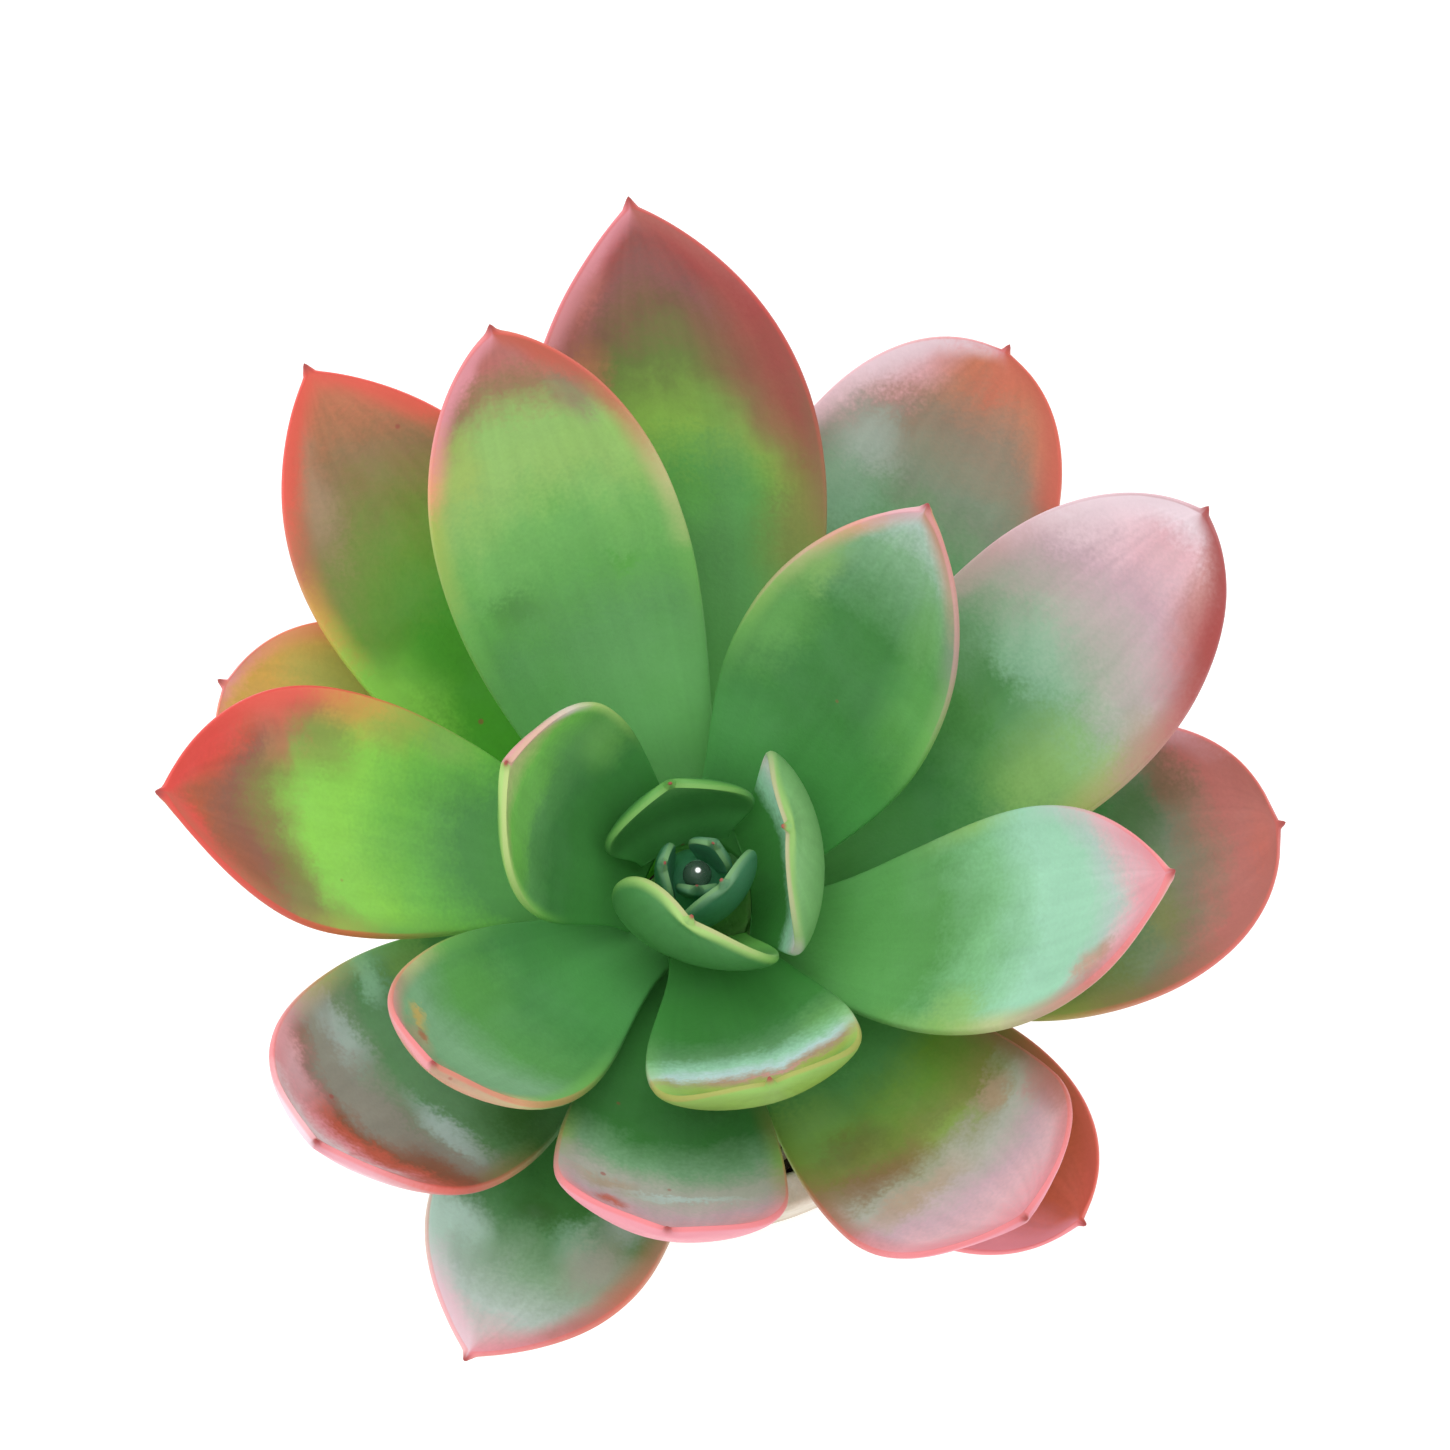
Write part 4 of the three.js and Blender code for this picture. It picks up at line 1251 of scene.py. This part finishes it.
def grit_finish():
    """Pale pumice with a few dark crumbs, each grain its own tone."""
    material, nodes, shader, place = new_material("pumice_grit")
    tone = read(nodes, "tone")
    pits = nodes.noise(place, GRIT_LOOK["size"] * MM, detail=4.0, roughness=0.6)
    shade = nodes.blend(tone, colour("pumice_shadow"), colour("pumice"))
    shade = nodes.blend(nodes.math("GREATER_THAN", tone, CRUMB_TONE), shade, colour("loam"))
    shade = nodes.blend(nodes.ease(pits, *PIT_EDGE) * PIT_SHARE, shade, colour("pumice_shadow"))
    finish(nodes, shader, GRIT_LOOK, shade, pits, pits)
    return material


def husk_finish():
    """The stalk: dry papery bark, greener towards the leaves."""
    material, nodes, shader, place = new_material("husk")
    height = nodes.parts(place)[2]
    fibres = nodes.noise(place, HUSK_LOOK["size"] * MM, detail=6.0, roughness=0.65)
    shade = nodes.blend(nodes.ease(fibres, *SOFT_EDGE), colour("husk_shadow"), colour("husk"))
    green = nodes.ease(height, (ROSETTE_FOOT - GREEN_FROM) * MM, (ROSETTE_FOOT + GREEN_TO) * MM)
    shade = nodes.blend(green, shade, colour("leaf_green"))
    finish(nodes, shader, HUSK_LOOK, shade, fibres, fibres)
    return material


def water_finish():
    """Clear water with a painted glint: a white spot that glows, standing in for a highlight."""
    material, nodes, shader, place = new_material("water")
    near = nodes.vector("DISTANCE", {0: place, 1: Vector(PAINTED_GLINT_PLACE) * MM}, "Value")
    # Painted highlight: white and glowing within this radius of a fixed point
    painted_glint = nodes.ease(near, PAINTED_GLINT_RADIUS * MM, PAINTED_GLINT_RADIUS / 3 * MM)
    shade = nodes.blend(painted_glint, colour("drop_grey"), colour("white"))
    finish(nodes, shader, WATER_LOOK, shade, nodes.noise(place, WATER_LOOK["size"] * MM, detail=1.0))
    nodes.feed(shader["Transmission Weight"], DROP_CLEARNESS - painted_glint * DROP_CLEARNESS)
    nodes.feed(shader["Emission Strength"], painted_glint * PAINTED_GLINT_GLOW)
    shader["Emission Color"].default_value = colour("white")
    shader["IOR"].default_value = WATER_INDEX
    return material


def floor_finish():
    """A pale matte sweep."""
    material, nodes, shader, place = new_material("pale_floor")
    dust = nodes.noise(place, FLOOR_LOOK["size"] * MM, detail=3.0)
    finish(nodes, shader, FLOOR_LOOK, colour("white"), dust)
    shader["Emission Color"].default_value = colour("white")
    shader["Emission Strength"].default_value = FLOOR_GLOW
    return material


# The pieces


def keep(piece, slot_name, *nodes_replaced):
    """Puts a finished piece on the root body and hides the solids it stands for. slot_name is not used."""
    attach(piece, "root")
    if nodes_replaced:
        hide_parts(*nodes_replaced)


def join(name, pieces):
    """Several objects' meshes as one object."""
    whole = pieces[0]
    with bpy.context.temp_override(active_object=whole, selected_editable_objects=pieces):
        bpy.ops.object.join()
    whole.name = whole.data.name = name
    return whole


def make_leaves():
    for order, leaf in enumerate(LEAVES):
        name = f"leaf_{order + 1:02d}"
        piece = make_leaf("waxy_" + name, leaf, order, leaf_skin(name, leaf["width"]))
        keep(piece, "blush_leaf" if order < BLUSHED_LEAVES else "green_leaf", name)


def make_heart():
    """The youngest leaves round the growing tip, and the drop of water between them."""
    skin = leaf_skin("heart", HEART_LEAVES[0]["width"])
    top = ROSETTE_FOOT + ROSETTE_RISE
    outline = [(0, HEART_FOOT), *dome_outline(HEART_FOOT, top), (0, top)]
    parts = [grow("tip", turned_tree(), outline_mesh(outline), {"Finish": skin})]
    for i, leaf in enumerate(HEART_LEAVES):
        parts.append(make_leaf(f"young_leaf_{i}", leaf, len(LEAVES) + i, skin, sink=HEART_SINK))
    keep(join("waxy_heart", parts), "green_leaf", "heart")

    steps = [math.pi * i / DROP_ROWS for i in range(DROP_ROWS + 1)]
    tall = DROP_RADIUS * DROP_SQUASH
    outline = [(DROP_RADIUS * math.sin(angle), DROP_HEIGHT - tall * math.cos(angle)) for angle in steps]
    keep(grow("water_drop", turned_tree(), outline_mesh(outline), {"Finish": water_finish()}), None)


def make_pot():
    pot = grow("clay_pot", pot_tree(), outline_mesh(pot_outline()), {"Clay": clay_finish()})
    keep(pot, "clay", "pot")
    soil = grow("soil_body", soil_tree(), outline_mesh(soil_outline()), {"Soil": loam_finish()})
    grit = grow("pumice_grains", grit_tree(), soil.data.copy(), {"Grit": grit_finish()})
    keep(soil, "earth", "soil")
    keep(grit, "earth")
    stem = grow("scarred_stem", stem_tree(), outline_mesh(stem_outline()), {"Husk": husk_finish()})
    keep(stem, "bark", "stem")


# The studio


def make_floor():
    mesh = bpy.data.meshes.new("sweep")
    square = ((-1, -1), (1, -1), (1, 1), (-1, 1))
    corners = [(x * FLOOR_REACH, y * FLOOR_REACH, -FLOOR_DROP * MM) for x, y in square]
    mesh.from_pydata(corners, [], [(0, 1, 2, 3)])
    mesh.materials.append(floor_finish())
    add_object("sweep", mesh)


def make_light():
    """White light from all round, and a wide soft sun above and behind to the left."""
    world = bpy.data.worlds.new("daylight")
    world.use_nodes = True
    background = world.node_tree.nodes["Background"].inputs
    background["Color"].default_value = (1, 1, 1, 1)
    background["Strength"].default_value = DAYLIGHT
    bpy.context.scene.world = world
    data = bpy.data.lights.new("soft_lamp", "SUN")
    data.angle = math.radians(LAMP_SPREAD)
    data.energy = LAMP_STRENGTH
    add_object("soft_lamp", data).rotation_euler = [math.radians(turn) for turn in LAMP_TURN]


def make_camera():
    """A camera at the photograph's angle, with the heart on its pixel."""
    rise = math.radians(CAMERA_RISE)
    right = Vector((1, 0, 0))
    up = Vector((0, math.sin(rise), math.cos(rise)))
    back = Vector((0, -math.cos(rise), math.sin(rise)))
    middle = PHOTO_PIXELS / 2
    target = HEART_POINT + right * (middle - HEART_PIXEL[0]) * MM_PER_PIXEL
    target += up * (HEART_PIXEL[1] - middle) * MM_PER_PIXEL
    data = bpy.data.cameras.new("camera")
    data.sensor_width = SENSOR_WIDTH
    data.lens = SENSOR_WIDTH * CAMERA_AWAY / (PHOTO_PIXELS * MM_PER_PIXEL)
    data.clip_start = CAMERA_NEAR
    camera = add_object("camera", data)
    turn = Matrix((right, up, back)).transposed().to_4x4()
    camera.matrix_world = Matrix.Translation((target + back * CAMERA_AWAY) * MM) @ turn
    bpy.context.scene.camera = camera


make_leaves()
make_heart()
make_pot()
make_floor()
make_light()
make_camera()
bpy.context.scene.view_settings.view_transform = "Standard"
